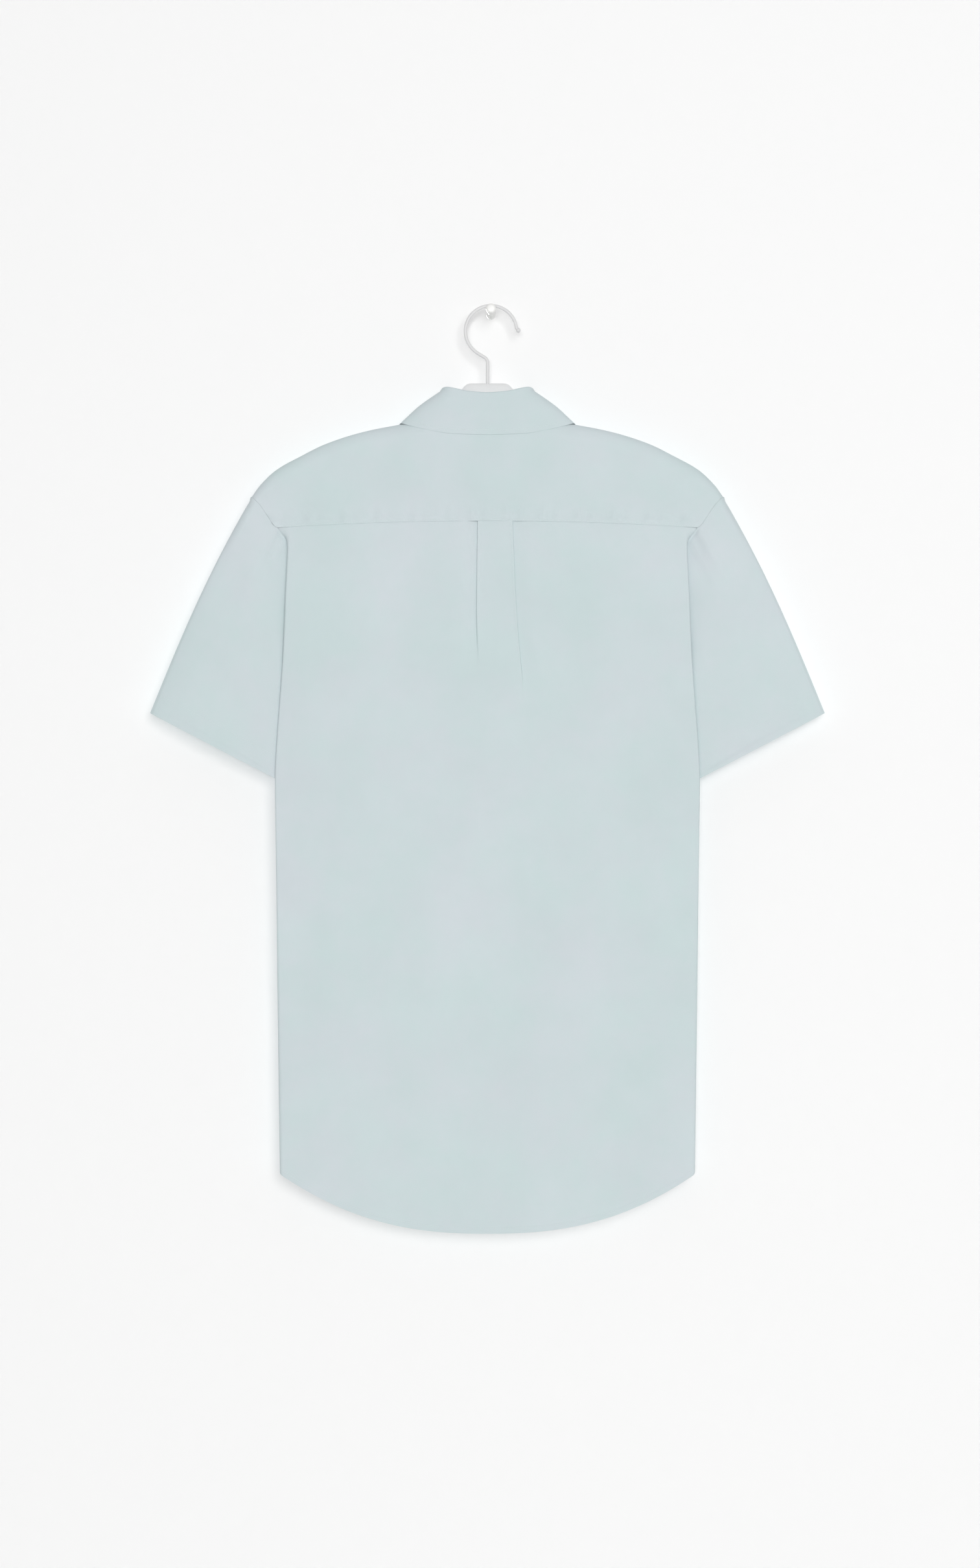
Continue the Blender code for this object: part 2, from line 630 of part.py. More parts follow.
def make_stand(surface):
    """The band that stands up from the neckline. Its left end laps over the right one."""
    halves = []
    for side in (-1, 1):
        half = []
        for foot, station in zip(neck_route(), neck_stations()):
            foot.x *= side
            head = fold_line(station, side)
            column = []
            for share in (0.0, 0.5, 1.0):
                place = foot.lerp(head, share)
                place += (head - foot).normalized() * STAND_GAP * (1 - share)
                if station > 0.5:
                    place.y += front_lap(abs(place.x), side)
                column.append(place)
            half.append(column)
        half.append([place + Vector((-side * STAND_END, 0, STAND_END_RISE)) for place in half[-1]])
        halves.append(half)
    columns = list(reversed(halves[0])) + halves[1][1:]
    points = [[tuple(column[row]) for column in columns] for row in range(3)]
    return cloth("collar_stand", points, surface)


def make_collar(surface):
    """The fall: it rolls over the stand's top and hangs down outside it, to two points in front."""
    stations = neck_stations()
    columns = []
    for side, half in ((-1, list(reversed(stations))), (1, stations[1:])):
        for station in half:
            place = min(station, COLLAR_END)
            base = fold_line(place, side)
            row = [follow(OUTER_EDGE, "station", column, station)
                   for column in ("across", "depth", "height")]
            edge = Vector((row[0] * side, row[1], row[2]))
            ahead = fold_line(min(place + 0.01, 1.0), side) - fold_line(max(place - 0.01, 0.0), side)
            rise = (base - neck_foot(place, side)).normalized()
            out = ahead.cross(rise).normalized() * side
            column = [base + rise * bend.up + out * bend.out for bend in COLLAR_ROLL]
            for share in (0.3, 0.62, 1.0):
                belly = out * COLLAR_BELLY * math.sin(math.pi * share)
                column.append(column[len(COLLAR_ROLL) - 1].lerp(edge, share) + belly)
            columns.append(column)
    points = [[tuple(column[row]) for column in columns] for row in range(len(columns[0]))]
    return cloth("collar", points, surface)


# ---------------------------------------------------------------- sleeves


def armhole_edge():
    """The armhole all round, from the shoulder point down the back and up the front.

    Each row holds the edge's place, the direction in which cloth leaves the body there, the side
    that faces outwards, and -1 on the back or 1 on the front.
    """
    back = []
    for turn in reversed([row.side_turn for row in YOKE_ROWS if row.side_turn <= 1.5]):
        across = yoke_side(turn)
        here = Vector(shoulder_point(across, turn))
        along = (Vector(shoulder_point(across + 1, turn)) - here).normalized()
        back.append((here, along, Vector((0, -1, 0))))
    for height in ARMHOLE_ROWS[1:]:
        back.append(side_edge(height, 0.0))
    front = []
    for height in reversed(ARMHOLE_ROWS[1:-1]):
        here, along, outer = side_edge(height, front_inset(height))
        flip = Vector((1, -1, 1))
        here = Vector((here.x, 2 * MIDDLE_DEPTH - here.y, here.z))
        front.append((here, along * flip, outer * flip))
    for turn in [row.side_turn for row in reversed(YOKE_ROWS) if row.side_turn > 1.5]:
        across = yoke_side(turn)
        here = Vector(shoulder_point(across, turn))
        along = (Vector(shoulder_point(across + 1, turn)) - here).normalized()
        front.append((here, along, Vector((0, 1, 0))))
    return back, front


def side_edge(height, inset):
    """The armhole's edge on the folded side of a panel, in the back's plan."""
    start, pieces = side_route(height, inset)
    x, y, heading = walk((start, BACK_DEPTH, 0.0), pieces, side_length(height, inset))
    out, up = armhole_lean(height) if height > UNDERARM else (0.0, 1.0)
    along = Vector((math.cos(heading) * out, math.sin(heading) * out, up))
    return Vector((x, y, height)), along, Vector((math.sin(heading), -math.cos(heading), 0.0))


def sleeve_hem(share, layer):
    """A point of the sleeve's hem. layer is -1 on the back, 1 on the front and 0 on a fold."""
    half = follow(CUFF_OPENING, "share", "half_depth", share)
    return Vector((mix(SLEEVE_OUTER[0], SLEEVE_INNER[0], share), MIDDLE_DEPTH + layer * half,
                   mix(SLEEVE_OUTER[1], SLEEVE_INNER[1], share)))


def sleeve_columns():
    """Each column leaves the armhole, turns back on itself where it must, and runs to the hem."""
    back, front = armhole_edge()
    lengths = [0.0]
    for before, after in zip(back, back[1:]):
        lengths.append(lengths[-1] + (after[0] - before[0]).length)
    shares = [length / lengths[-1] for length in lengths]
    mirrored = list(reversed(shares[1:-1]))
    ring = [(*row, share, -1) for row, share in zip(back, shares)]
    ring += [(*row, share, 1) for row, share in zip(front, mirrored)]
    columns = []
    for here, along, outer, share, layer in ring:
        hem = sleeve_hem(share, layer)
        away = Vector((hem.x - here.x, 0, hem.z - here.z)).normalized()
        double = min(max(0.5 - along.dot(away) / 1.2, 0.0), 1.0)
        landing = here + outer * SEAM_TURN * double + away * mix(6.0, 2.0, double)
        start = here + along * (TRIM + UNDERARM_GAP * armhole_slope(here.z) ** 8)
        reach = mix(2.0, 2.4, double)
        lead, lag = start + along * reach, landing - away * reach
        column = []
        for step in range(4):
            t = step / 4
            column.append(start * (1 - t) ** 3 + lead * 3 * t * (1 - t) ** 2
                          + lag * 3 * t * t * (1 - t) + landing * t ** 3)
        for t in (0.0, 0.1, 0.25, 0.5, 0.78, 1.0):
            swell = SLEEVE_BOW * math.sin(math.pi * t ** 0.85) * (1 - share) ** 1.5
            place = landing.lerp(hem, t) + SLEEVE_TOP_NORMAL * swell
            beyond = place.x - follow(FOLD_EDGE, "height", "across", place.z)
            room = SLEEVE_IN_GROOVE + SLEEVE_ROOM * ease((beyond + 2.0) / SLEEVE_ROOM_RISE)
            wanted = min(follow(CUFF_OPENING, "share", "half_depth", share), room)
            half = mix(abs(landing.y - MIDDLE_DEPTH), wanted, ease(t / 0.3))
            place.y = MIDDLE_DEPTH + layer * half
            column.append(place)
        columns.append(column)
    return columns


def make_sleeve(name, side, surface):
    columns = sleeve_columns()
    columns.append(columns[0])
    rows = len(columns[0])
    points = [[(column[row].x * side, column[row].y, column[row].z) for column in columns]
              for row in range(rows)]
    return cloth(name, points, surface, ring=True)


# ---------------------------------------------------------------- buttons


def turned(name, rows, sides, place, surface):
    """A solid turned about the y axis through a profile of (along, radius) rows, end to end."""
    solid = bmesh.new()
    rings = []
    for row in rows:
        ring = []
        for n in range(sides):
            angle = 2 * math.pi * n / sides
            ring.append(solid.verts.new(metres(place[0] + row.radius * math.cos(angle),
                                               place[1] + row.along,
                                               place[2] + row.radius * math.sin(angle))))
        rings.append(ring)
    for before, after in zip(rings, rings[1:]):
        for n in range(sides):
            solid.faces.new((before[n], before[(n + 1) % sides], after[(n + 1) % sides], after[n]))
    solid.faces.new(rings[0])
    solid.faces.new(rings[-1])
    bmesh.ops.recalc_face_normals(solid, faces=solid.faces)
    return add_object(name, solid, surface)


BUTTON_PROFILE = [
    Turned(0.0, 4.4), Turned(0.8, BUTTON_RADIUS), Turned(2.1, 5.2), Turned(2.1, 4.3),
    Turned(1.5, 3.6),
]


def make_buttons(surface):
    """Seven buttons: one on the collar stand and six down the placket."""
    outer_face = FRONT_DEPTH + PLACKET_WALL / 2
    for number, height in enumerate(BUTTON_HEIGHTS, start=1):
        turned(f"button_{number}", BUTTON_PROFILE, 12, (0.0, outer_face + SEAM, height), surface)


# ---------------------------------------------------------------- hanger, hook and peg


def make_hanger(surface):
    """A plain moulded hanger: one rounded bar that dips from its crown to both shoulders."""
    right = list(CROWN)
    for row in ARM_SIZES:
        top = follow(SHOULDER_LINE, "across", "height", row.across) - ARM_CLEARANCE - row.sink
        right.append(Arm(row.across, top, top - row.thickness))
    stations = [(-row.across, row) for row in reversed(right[1:])]
    stations += [(row.across, row) for row in right]
    sides = 12
    bar = bmesh.new()
    rings = []
    for across, row in stations:
        middle, half = (row.top + row.bottom) / 2, (row.top - row.bottom) / 2
        depth = min(HANGER_HALF_DEPTH, half * TIP_DEPTH + LEAST_HALF_DEPTH)
        ring = []
        for n in range(sides):
            angle = 2 * math.pi * (n + 0.5) / sides
            spread = abs(math.cos(angle)) ** BAR_SQUARENESS + abs(math.sin(angle)) ** BAR_SQUARENESS
            bulge = spread ** (-1 / BAR_SQUARENESS)
            ring.append(bar.verts.new(metres(across, MIDDLE_DEPTH + depth * bulge * math.cos(angle),
                                             middle + half * bulge * math.sin(angle))))
        rings.append(ring)
    for before, after in zip(rings, rings[1:]):
        for n in range(sides):
            bar.faces.new((before[n], before[(n + 1) % sides], after[(n + 1) % sides], after[n]))
    bar.faces.new(rings[0])
    bar.faces.new(rings[-1])
    bmesh.ops.recalc_face_normals(bar, faces=bar.faces)
    hanger = add_object("hanger", bar, surface)

    drill = bmesh.new()
    bore = (WIRE_RADIUS + SEAM) * 0.001
    bmesh.ops.create_cone(drill, cap_ends=True, segments=16, radius1=bore, radius2=bore,
                          depth=(STEM_SEAT + DRILL_ABOVE) * 0.001)
    middle = CROWN_HEIGHT + (DRILL_ABOVE - STEM_SEAT) / 2
    centre = Vector((STEM_ACROSS, WIRE_DEPTH, middle)) * 0.001
    bmesh.ops.translate(drill, verts=drill.verts, vec=centre)
    cutter = add_object("stem_hole_cutter", drill, surface)
    cutter.hide_render = True
    cutter.display_type = "WIRE"
    hole = hanger.modifiers.new("stem hole", "BOOLEAN")
    hole.operation = "DIFFERENCE"
    hole.object = cutter
    return hanger


def hook_route():
    """The wire's middle line: from the tip over the peg, round to the bend and down the stem."""
    route = []
    for degrees in range(HOOK_FROM, HOOK_TO + 1, 12):
        angle = math.radians(degrees)
        height = HOOK_CENTRE_HEIGHT + HOOK_RADIUS * math.sin(angle)
        route.append((HOOK_RADIUS * math.cos(angle), height))
    route.insert(0, (route[0][0] + TIP_LEAN[0], route[0][1] + TIP_LEAN[1]))
    last = route[-1]
    for share in (0.45, 0.8):
        route.append((mix(last[0], STEM_ACROSS, share), mix(last[1], STEM_BEND_HEIGHT, share)))
    for row in STEM_BEND:
        route.append((STEM_ACROSS + row.across, STEM_BEND_HEIGHT + row.height))
    route.append((STEM_ACROSS, CROWN_HEIGHT - STEM_SEAT + STEM_FOOT_GAP))
    return route


TIP_BEAD = [Turned(3.6, 0.9), Turned(3.0, 1.9), Turned(1.6, 2.4), Turned(0.2, 2.1)]


def make_hook(surface):
    """The bent wire, with a small rounded bead at its tip."""
    route = [Vector((x, WIRE_DEPTH, z)) for x, z in hook_route()]
    radii = [WIRE_RADIUS] * len(route)
    start = (route[0] - route[1]).normalized()
    route = [route[0] + start * row.along for row in TIP_BEAD] + route
    radii = [row.radius for row in TIP_BEAD] + radii
    sides = 8
    wire = bmesh.new()
    rings = []
    for index, place in enumerate(route):
        before, after = route[max(index - 1, 0)], route[min(index + 1, len(route) - 1)]
        forward = (after - before).normalized()
        across = Vector((0, 1, 0)).cross(forward).normalized()
        ring = []
        for n in range(sides):
            angle = 2 * math.pi * n / sides
            spoke = across * math.cos(angle) + Vector((0, 1, 0)) * math.sin(angle)
            ring.append(wire.verts.new((place + spoke * radii[index]) * 0.001))
        rings.append(ring)
    for before, after in zip(rings, rings[1:]):
        for n in range(sides):
            wire.faces.new((before[n], before[(n + 1) % sides], after[(n + 1) % sides], after[n]))
    wire.faces.new(rings[0])
    wire.faces.new(rings[-1])
    bmesh.ops.recalc_face_normals(wire, faces=wire.faces)
    return add_object("hook", wire, surface)


PEG_PROFILE = [
    Turned(0.0, 4.75), Turned(-7.2, 4.75), Turned(-8.0, 4.2), Turned(-9.0, PEG_NECK_RADIUS),
    Turned(-27.0, PEG_NECK_RADIUS), Turned(-28.2, 4.4), Turned(-29.4, 5.0), Turned(-34.6, 5.0),
    Turned(-35.6, 4.3), Turned(-36.0, 3.0),
]


def make_peg(surface):
    """A round peg: its flat face on the wall, a neck that carries the wire, and a knob."""
    return turned("wall_peg", PEG_PROFILE, 16, (-CENTRE, 0.0, 0.0), surface)


# ---------------------------------------------------------------- build


def build():
    for leftover in list(bpy.data.objects):
        bpy.data.objects.remove(leftover, do_unlink=True)
    poplin = material("cotton_poplin", (0.60, 0.69, 0.70), 0.85)
    shell = material("button_plastic", (0.72, 0.77, 0.77), 0.35)
    moulded = material("hanger_plastic", (0.86, 0.86, 0.85), 0.45)
    painted = material("hook_paint", (0.84, 0.84, 0.83), 0.4)
    enamel = material("peg_paint", (0.88, 0.88, 0.87), 0.5)
    make_yoke(poplin)
    make_back(poplin)
    make_front("front_left", -1, poplin)
    make_front("front_right", 1, poplin)
    make_placket(poplin)
    make_stand(poplin)
    make_collar(poplin)
    make_sleeve("sleeve_left", -1, poplin)
    make_sleeve("sleeve_right", 1, poplin)
    make_buttons(shell)
    make_hanger(moulded)
    make_hook(painted)
    make_peg(enamel)


build()
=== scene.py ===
# %% [markdown]
# # A short-sleeved shirt on its hanger, seen from the back
#
# The shirt is pale aqua cotton poplin: a smooth, matt, tightly woven cloth. It hangs almost flat on a
# white moulded hanger, and the hanger's wire hook hangs on a round peg in the wall. Each piece that was
# cut and sewn is one thin shell here, on the form of its solid, with the stitches, the weave and the soft
# creases that a solid leaves out.

# %% Load the fixed frame
import math
from collections import namedtuple

import bmesh
import bpy
from mathutils import Matrix, Vector


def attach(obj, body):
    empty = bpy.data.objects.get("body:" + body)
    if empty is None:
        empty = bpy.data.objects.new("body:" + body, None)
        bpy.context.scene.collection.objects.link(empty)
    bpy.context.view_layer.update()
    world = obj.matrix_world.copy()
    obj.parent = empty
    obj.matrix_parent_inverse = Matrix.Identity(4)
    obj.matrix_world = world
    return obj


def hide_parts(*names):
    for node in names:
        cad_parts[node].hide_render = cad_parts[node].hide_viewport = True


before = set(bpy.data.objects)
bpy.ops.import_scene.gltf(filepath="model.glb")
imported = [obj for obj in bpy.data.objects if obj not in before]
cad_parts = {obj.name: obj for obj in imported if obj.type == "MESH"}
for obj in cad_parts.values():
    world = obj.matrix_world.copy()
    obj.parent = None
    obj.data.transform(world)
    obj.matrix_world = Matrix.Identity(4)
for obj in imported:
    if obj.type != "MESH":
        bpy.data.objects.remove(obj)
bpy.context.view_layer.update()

print("nodes in the frame:", len(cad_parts))

# %% [markdown]
# ## Small tools
#
# `follow` reads a smooth value from a table, without overshoot, so an outline needs only a few measured
# rows. `walk` follows a route of straight and bent stretches in plan: that is how a folded panel keeps
# its cloth length as it goes round each fold. `ramp` and `band` fade an effect in and out along the cloth.

# %% Numbers along a line
def mix(start, end, share):
    return start + (end - start) * share


def clamp(value):
    return min(max(value, 0.0), 1.0)


def ease(value):
    return clamp(value) ** 2 * (3.0 - 2.0 * clamp(value))


def ramp(at, start, full):
    """Rise smoothly from 0 at the start to 1 where it is full, which may lie above or below it."""
    return ease((at - start) / (full - start))


def band(at, start, full, fading, end):
    """Rise smoothly from 0 at the start, and fall to 0 again at the end."""
    return ramp(at, start, full) * ramp(at, end, fading)


def steps(start, end, count):
    """Even steps after the start, up to the end."""
    return [mix(start, end, (n + 1) / count) for n in range(count)]


def shares(count):
    """Even shares from 0 to 1, with both ends."""
    return [0.0] + steps(0, 1, count)


def distances(points):
    """How far along a line of points each of them lies."""
    sums = [0.0]
    for before, after in zip(points, points[1:]):
        sums.append(sums[-1] + (after - before).length)
    return sums


def transposed(rows):
    return [list(column) for column in zip(*rows)]


# %% Curves through tables
def table(columns, *rows):
    """Rows of numbers whose columns have names."""
    kind = namedtuple("Row", columns)
    return [kind(*row) for row in rows]


def follow(rows, key, column, at):
    """Smooth value of a column where the key column is `at`. With no key, `at` counts rows."""
    keys = [getattr(row, key) for row in rows] if key else list(range(len(rows)))
    values = [getattr(row, column) for row in rows]
    if keys[0] > keys[-1]:
        keys.reverse()
        values.reverse()
    if at <= keys[0]:
        return values[0]
    if at >= keys[-1]:
        return values[-1]
    grades = [(values[i + 1] - values[i]) / (keys[i + 1] - keys[i]) for i in range(len(keys) - 1)]
    slopes = [grades[0]]
    for before, after in zip(grades, grades[1:]):
        slopes.append(0.0 if before * after <= 0 else 2 * before * after / (before + after))
    slopes.append(grades[-1])
    i = max(n for n in range(len(grades)) if keys[n] <= at)
    span = keys[i + 1] - keys[i]
    t = (at - keys[i]) / span
    return (values[i] * (1 + 2 * t) * (1 - t) ** 2 + slopes[i] * span * t * (1 - t) ** 2
            + values[i + 1] * t * t * (3 - 2 * t) + slopes[i + 1] * span * t * t * (t - 1))


def follow_row(rows, key, at):
    """A smooth row between the rows of a table."""
    return rows[0]._make(follow(rows, key, column, at) for column in rows[0]._fields)


def walk(start, pieces, distance):
    """Go along pieces of (length, turn) from (x, y, heading), and give where that ends."""
    x, y, heading = start
    for length, turn in pieces + [(math.inf, 0.0)]:
        part = min(distance, length)
        bend = turn * part / length
        chord = part * math.sin(bend / 2) / (bend / 2) if abs(bend) > 1e-9 else part
        x += chord * math.cos(heading + bend / 2)
        y += chord * math.sin(heading + bend / 2)
        heading += bend
        distance -= part
        if distance <= 0:
            break
    return x, y, heading


print("even shares:", shares(4))

# %% [markdown]
# ## Sizes
#
# The garment was measured in millimetres, so the tables stay in millimetres and one function turns a
# point into metres at the end. The wall is the plane y = 0 and the shirt hangs at y < 0, in front of it.
# The garment's middle hangs 3.6 mm to the left of the peg.

# %% Sizes of the body
CENTRE = -3.6
CLOTH = 0.4             # thickness of the shell, a little more than one layer of poplin
THIN_EDGE = 0.45        # an edge is pressed flat, to this share of the thickness
TRIM = 0.04             # and it stops this short of its seam line
LAP = 1.2               # the yoke's turned edge laps this far over the panel below it

BACK_DEPTH = -29.0
FRONT_DEPTH = -10.5
MIDDLE_DEPTH = (BACK_DEPTH + FRONT_DEPTH) / 2
HALF_DEPTH = (FRONT_DEPTH - BACK_DEPTH) / 2

SHOULDER_ROUND = 14.0
SHOULDER_REACH = 236.9
SPRING_REACH = 231.3
YOKE_EDGE_CURVE = 0.63
YOKE_CORNER = (210.6, -219.0)
YOKE_SEAM_MIDDLE = -212.1
NECK_HALF_WIDTH = 66.0
NECK_FRONT_HEIGHT = -149.0
NECKLINE_BOTTOM = -190.0

TUCK_START, TUCK_FULL = -217.0, -246.0
TUCK_RADIUS, TUCK_RADIUS_LOW = 1.75, 3.4
SOFTER_FROM, SOFTER_FULL = -496.0, -776.0
LEAST_TURN = 0.03
ARMHOLE_TURN, ARMHOLE_REACH, UNDERARM = -265.0, 64.0, -390.0
SIDE_SEAM_ACROSS = 151.0
FRONT_INSET, INSET_FROM, INSET_FULL = 3.0, -290.0, -390.0

BACK_HEM, FRONT_HEM, SIDE_HEM = -927.6, -905.0, -840.0
HEM_CORNER_REACH, HEM_CORNER_RISE = 208.0, 59.3
BACK_HEM_CURVE, FRONT_HEM_CURVE = 2.4, 2.2
HEM_FOLD = 6.0          # the hem is turned up this far and sewn down
HEM_SWELL = 0.2         # and its extra layers stand this far proud
HEM_STEP = (0.3, -0.5)  # over this stretch, counted from the fold's upper edge

PLACKET_WIDTH, PLACKET_WALL = 35.0, 1.3


def metres(across, depth, height):
    return Vector((across + CENTRE, depth, height)) * 0.001


print("body depth", round(2 * HALF_DEPTH, 1), "mm, tail", BACK_HEM, "mm below the peg")

# %% Tables of its outlines
SHOULDER_LINE = table(
    "across height", (0, -103.0), (40, -104.5), (66, -110.6), (89, -114.7), (115, -119.6),
    (138, -125.5), (165, -135.0), (187, -146.0), (212, -160.0), (228.5, -175.5), (236.9, -187.0))
FOLD_EDGE = table(
    "height across", (-868, 208.3), (-712, 210.3), (-560, 212.0), (-472, 213.1), (-437, 211.6),
    (-398, 208.8), (-340, 204.8), (-279, 202.3), (-219, 199.2))
ARMHOLE_EDGE = table(
    "height across", (-265, 207.5), (-252, 206.6), (-241, 205.4), (-231, 205.0), (-225, 207.3),
    (-219, 210.6))
PLEAT_EDGES = table(
    "height left right", (-900, -14.0, 48.0), (-520, -9.0, 42.0), (-380, -7.2, 35.1),
    (-300, -10.6, 29.0), (-212, -9.8, 25.1))
YOKE_ROWS = table(
    "across neck_turn side_turn", (0.0, 0.0, 0.0), (0.0, 0.5, 0.4), (0.0, 1.0, 0.78),
    (17.0, 1.015, 1.0), (34.0, 1.05, 1.14), (47.0, 1.12, 1.26), (57.5, 1.25, 1.36), (61.2, 1.38, 1.43),
    (63.0, 1.5, 1.5), (64.2, 1.62, 1.57), (65.1, 1.78, 1.68), (65.6, 2.0, 1.84), (66.0, 2.5, 2.3),
    (66.0, 3.0, 3.0))
YOKE_STEPS = (14, 14, 6, 5, 4, 4, 2, 2, 2, 2, 3, 5, 7)  # finer rows between the rows above
ARMHOLE_ROWS = [-219.1, -222, -225, -228, -231, -234, -238, -246, -268, -304, -338, -361, -375,
                -383, -388, UNDERARM]
print("fold edge at mid height:", round(follow(FOLD_EDGE, "height", "across", -560), 1), "mm")

# %% [markdown]
# ## Colours
#
# Colours are read as sRGB hex values, as a paint chart gives them, but Blender's shaders work in linear
# light. One function does that conversion for every material.

# %% Colour and node helpers
def linear(code):
    parts = [int(code[i:i + 2], 16) / 255 for i in (1, 3, 5)]
    parts = [p / 12.92 if p <= 0.04045 else ((p + 0.055) / 1.055) ** 2.4 for p in parts]
    return (*parts, 1.0)


def add_node(tree, kind, inputs=None, **settings):
    """Add a node. inputs gives a socket its value, or links another node's output to it."""
    node = tree.nodes.new("ShaderNode" + kind)
    for name, value in settings.items():
        setattr(node, name, value)
    for socket, value in (inputs or {}).items():
        if isinstance(value, bpy.types.NodeSocket):
            tree.links.new(value, node.inputs[socket])
        else:
            node.inputs[socket].default_value = value
    return node


def add_noise(tree, vector, scale, detail, roughness=0.5):
    return add_node(tree, "TexNoise", {"Vector": vector, "Scale": scale, "Detail": detail,
                                       "Roughness": roughness}).outputs["Fac"]


def add_range(tree, value, low, high, to_low=0.0, to_high=1.0):
    return add_node(tree, "MapRange", {"Value": value, "From Min": low, "From Max": high,
                                       "To Min": to_low, "To Max": to_high}).outputs["Result"]


def add_tint(tree, share, light, dark):
    return add_node(tree, "Mix", {"Factor": share, "A": linear(light), "B": linear(dark)},
                    data_type="RGBA").outputs["Result"]


def add_bump(tree, shader, height, strength, depth):
    """Lay a bump over those that the shader has already. Its depth is in millimetres."""
    bump = add_node(tree, "Bump", {"Height": height, "Strength": strength, "Distance": depth * 0.001})
    for link in shader.inputs["Normal"].links:
        tree.links.new(link.from_socket, bump.inputs["Normal"])
    tree.links.new(bump.outputs["Normal"], shader.inputs["Normal"])


def new_material(name, colour, roughness, ior):
    """A material with its node tree, its shader and its object coordinates."""
    made = bpy.data.materials.new(name)
    made.use_nodes = True
    tree = made.node_tree
    shader = tree.nodes["Principled BSDF"]
    shader.inputs["Base Color"].default_value = linear(colour)
    shader.inputs["Roughness"].default_value = roughness
    shader.inputs["IOR"].default_value = ior
    return made, tree, shader, add_node(tree, "TexCoord").outputs["Object"]


POPLIN_LIGHT, POPLIN_SHADE = "#C6D5D6", "#CBD4D8"
print("poplin in linear light:", [round(v, 3) for v in linear(POPLIN_LIGHT)[:3]])

# %% [markdown]
# ## Cotton poplin
#
# Poplin is a plain weave with more warp threads than weft, about 50 and 28 to the centimetre. That gives
# a smooth, matt face with a faint upright grain and hardly any shine. The threads are too fine to show
# here, so a soft ribbing about 18 times as coarse stands for the weave. Longer streaks stand for thicker
# threads, and a slow, cloudy change of tint for the uneven dye. The pattern reads the piece's own UV map,
# which holds unfolded distances in metres, so it follows the cloth round each fold.

# %% Material: cotton poplin
WARP_MM, WEFT_MM = 3.772, 6.286     # the ribs' spacing. The real threads are 0.2 and 0.36 mm apart
WAVE_REPEAT = math.pi / 10          # a wave texture of scale 1 repeats at this distance
CLOUD_SCALE, CLOUD_DETAIL, CLOUD_ROUGHNESS, CLOUD_RANGE = 7.0, 9.0, 0.72, (0.38, 0.62)
TONES = [                       # repeats per metre across and down, and how strong the change of tone is
    ("place", (13.0, 13.0, 13.0), 0.018), ("grain", (40.0, 700.0, 1.0), 0.03),
    ("grain", (520.0, 24.0, 1.0), 0.035), ("grain", (1300.0, 110.0, 1.0), 0.05),
]


def poplin(name, light, shade):
    made, tree, shader, place = new_material(name, light, 0.86, 1.46)
    grain = add_node(tree, "UVMap", uv_map="UVMap").outputs["UV"]
    ribs = [add_node(tree, "TexWave", {"Vector": grain, "Scale": WAVE_REPEAT / (spacing * 0.001),
                                       "Distortion": 0.6, "Detail": 1.0},
                     bands_direction=direction).outputs["Fac"]
            for direction, spacing in (("X", WARP_MM), ("Y", WEFT_MM))]
    weave = add_node(tree, "Math", {0: ribs[0], 1: ribs[1]}, operation="MULTIPLY")
    cloud = add_noise(tree, place, CLOUD_SCALE, CLOUD_DETAIL, CLOUD_ROUGHNESS)
    toned = add_tint(tree, add_range(tree, cloud, *CLOUD_RANGE), light, shade)
    for vector, scale, contrast in TONES:
        source = grain if vector == "grain" else place
        stretched = add_node(tree, "Mapping", {"Vector": source, "Scale": scale}).outputs["Vector"]
        slub = add_noise(tree, stretched, 1.0, 3.0, 0.6)
        tone = add_range(tree, slub, 0.3, 0.7, 1 - contrast, 1 + contrast)
        toned = add_node(tree, "VectorMath", {0: toned, "Scale": tone}, operation="SCALE").outputs["Vector"]
    tree.links.new(toned, shader.inputs["Base Color"])
    add_bump(tree, shader, weave.outputs["Value"], 0.12, 0.2)
    add_bump(tree, shader, slub, 0.22, 0.3)
    shader.inputs["Sheen Weight"].default_value = 0.12
    shader.inputs["Sheen Roughness"].default_value = 0.5
    shader.inputs["Specular IOR Level"].default_value = 0.25
    return made


cotton = poplin("cotton_poplin_woven", POPLIN_LIGHT, POPLIN_SHADE)
print("material:", cotton.name)

# %% Material: sewing thread
# Spun polyester thread, two plies twisted together. It is dyed to match and catches a little more light.
thread, tree, shader, place = new_material("polyester_thread_spun", "#CEDADB", 0.6, 1.5)
plies = add_node(tree, "TexWave", {"Vector": place, "Scale": 900.0, "Distortion": 2.0},
                 bands_direction="DIAGONAL")
add_bump(tree, shader, plies.outputs["Fac"], 0.3, 0.1)
shader.inputs["Sheen Weight"].default_value = 0.2
print("material:", thread.name)

# %% [markdown]
# ## The hard pieces' finishes
#
# The hanger is injection-moulded polystyrene, a slightly grey white, with the fine spark-eroded grain
# that a steel mould leaves. The hook is steel wire dipped in pale grey vinyl, so it is smooth and softer
# in its shine. The peg is lacquered. The buttons are cast polyester resin with a cloudy, pearly swirl.

# %% Materials: moulded, dipped, lacquered and cast
SWIRLS_PER_METRE = 60.0
DULLER, SHINIER = 0.08, 0.06    # how far the roughness goes up and down over the surface


def hard_finish(name, colour, dark, roughness, ior, grit_mm, grit_strength):
    made, tree, shader, place = new_material(name, colour, roughness, ior)
    grit = add_noise(tree, place, 1000.0 / grit_mm, 2.0)
    swirl = add_noise(tree, place, SWIRLS_PER_METRE, 3.0)
    tree.links.new(add_tint(tree, swirl, colour, dark), shader.inputs["Base Color"])
    uneven = add_range(tree, swirl, 0.0, 1.0, roughness - SHINIER, roughness + DULLER)
    tree.links.new(uneven, shader.inputs["Roughness"])
    add_bump(tree, shader, grit, grit_strength, 0.2)
    return made


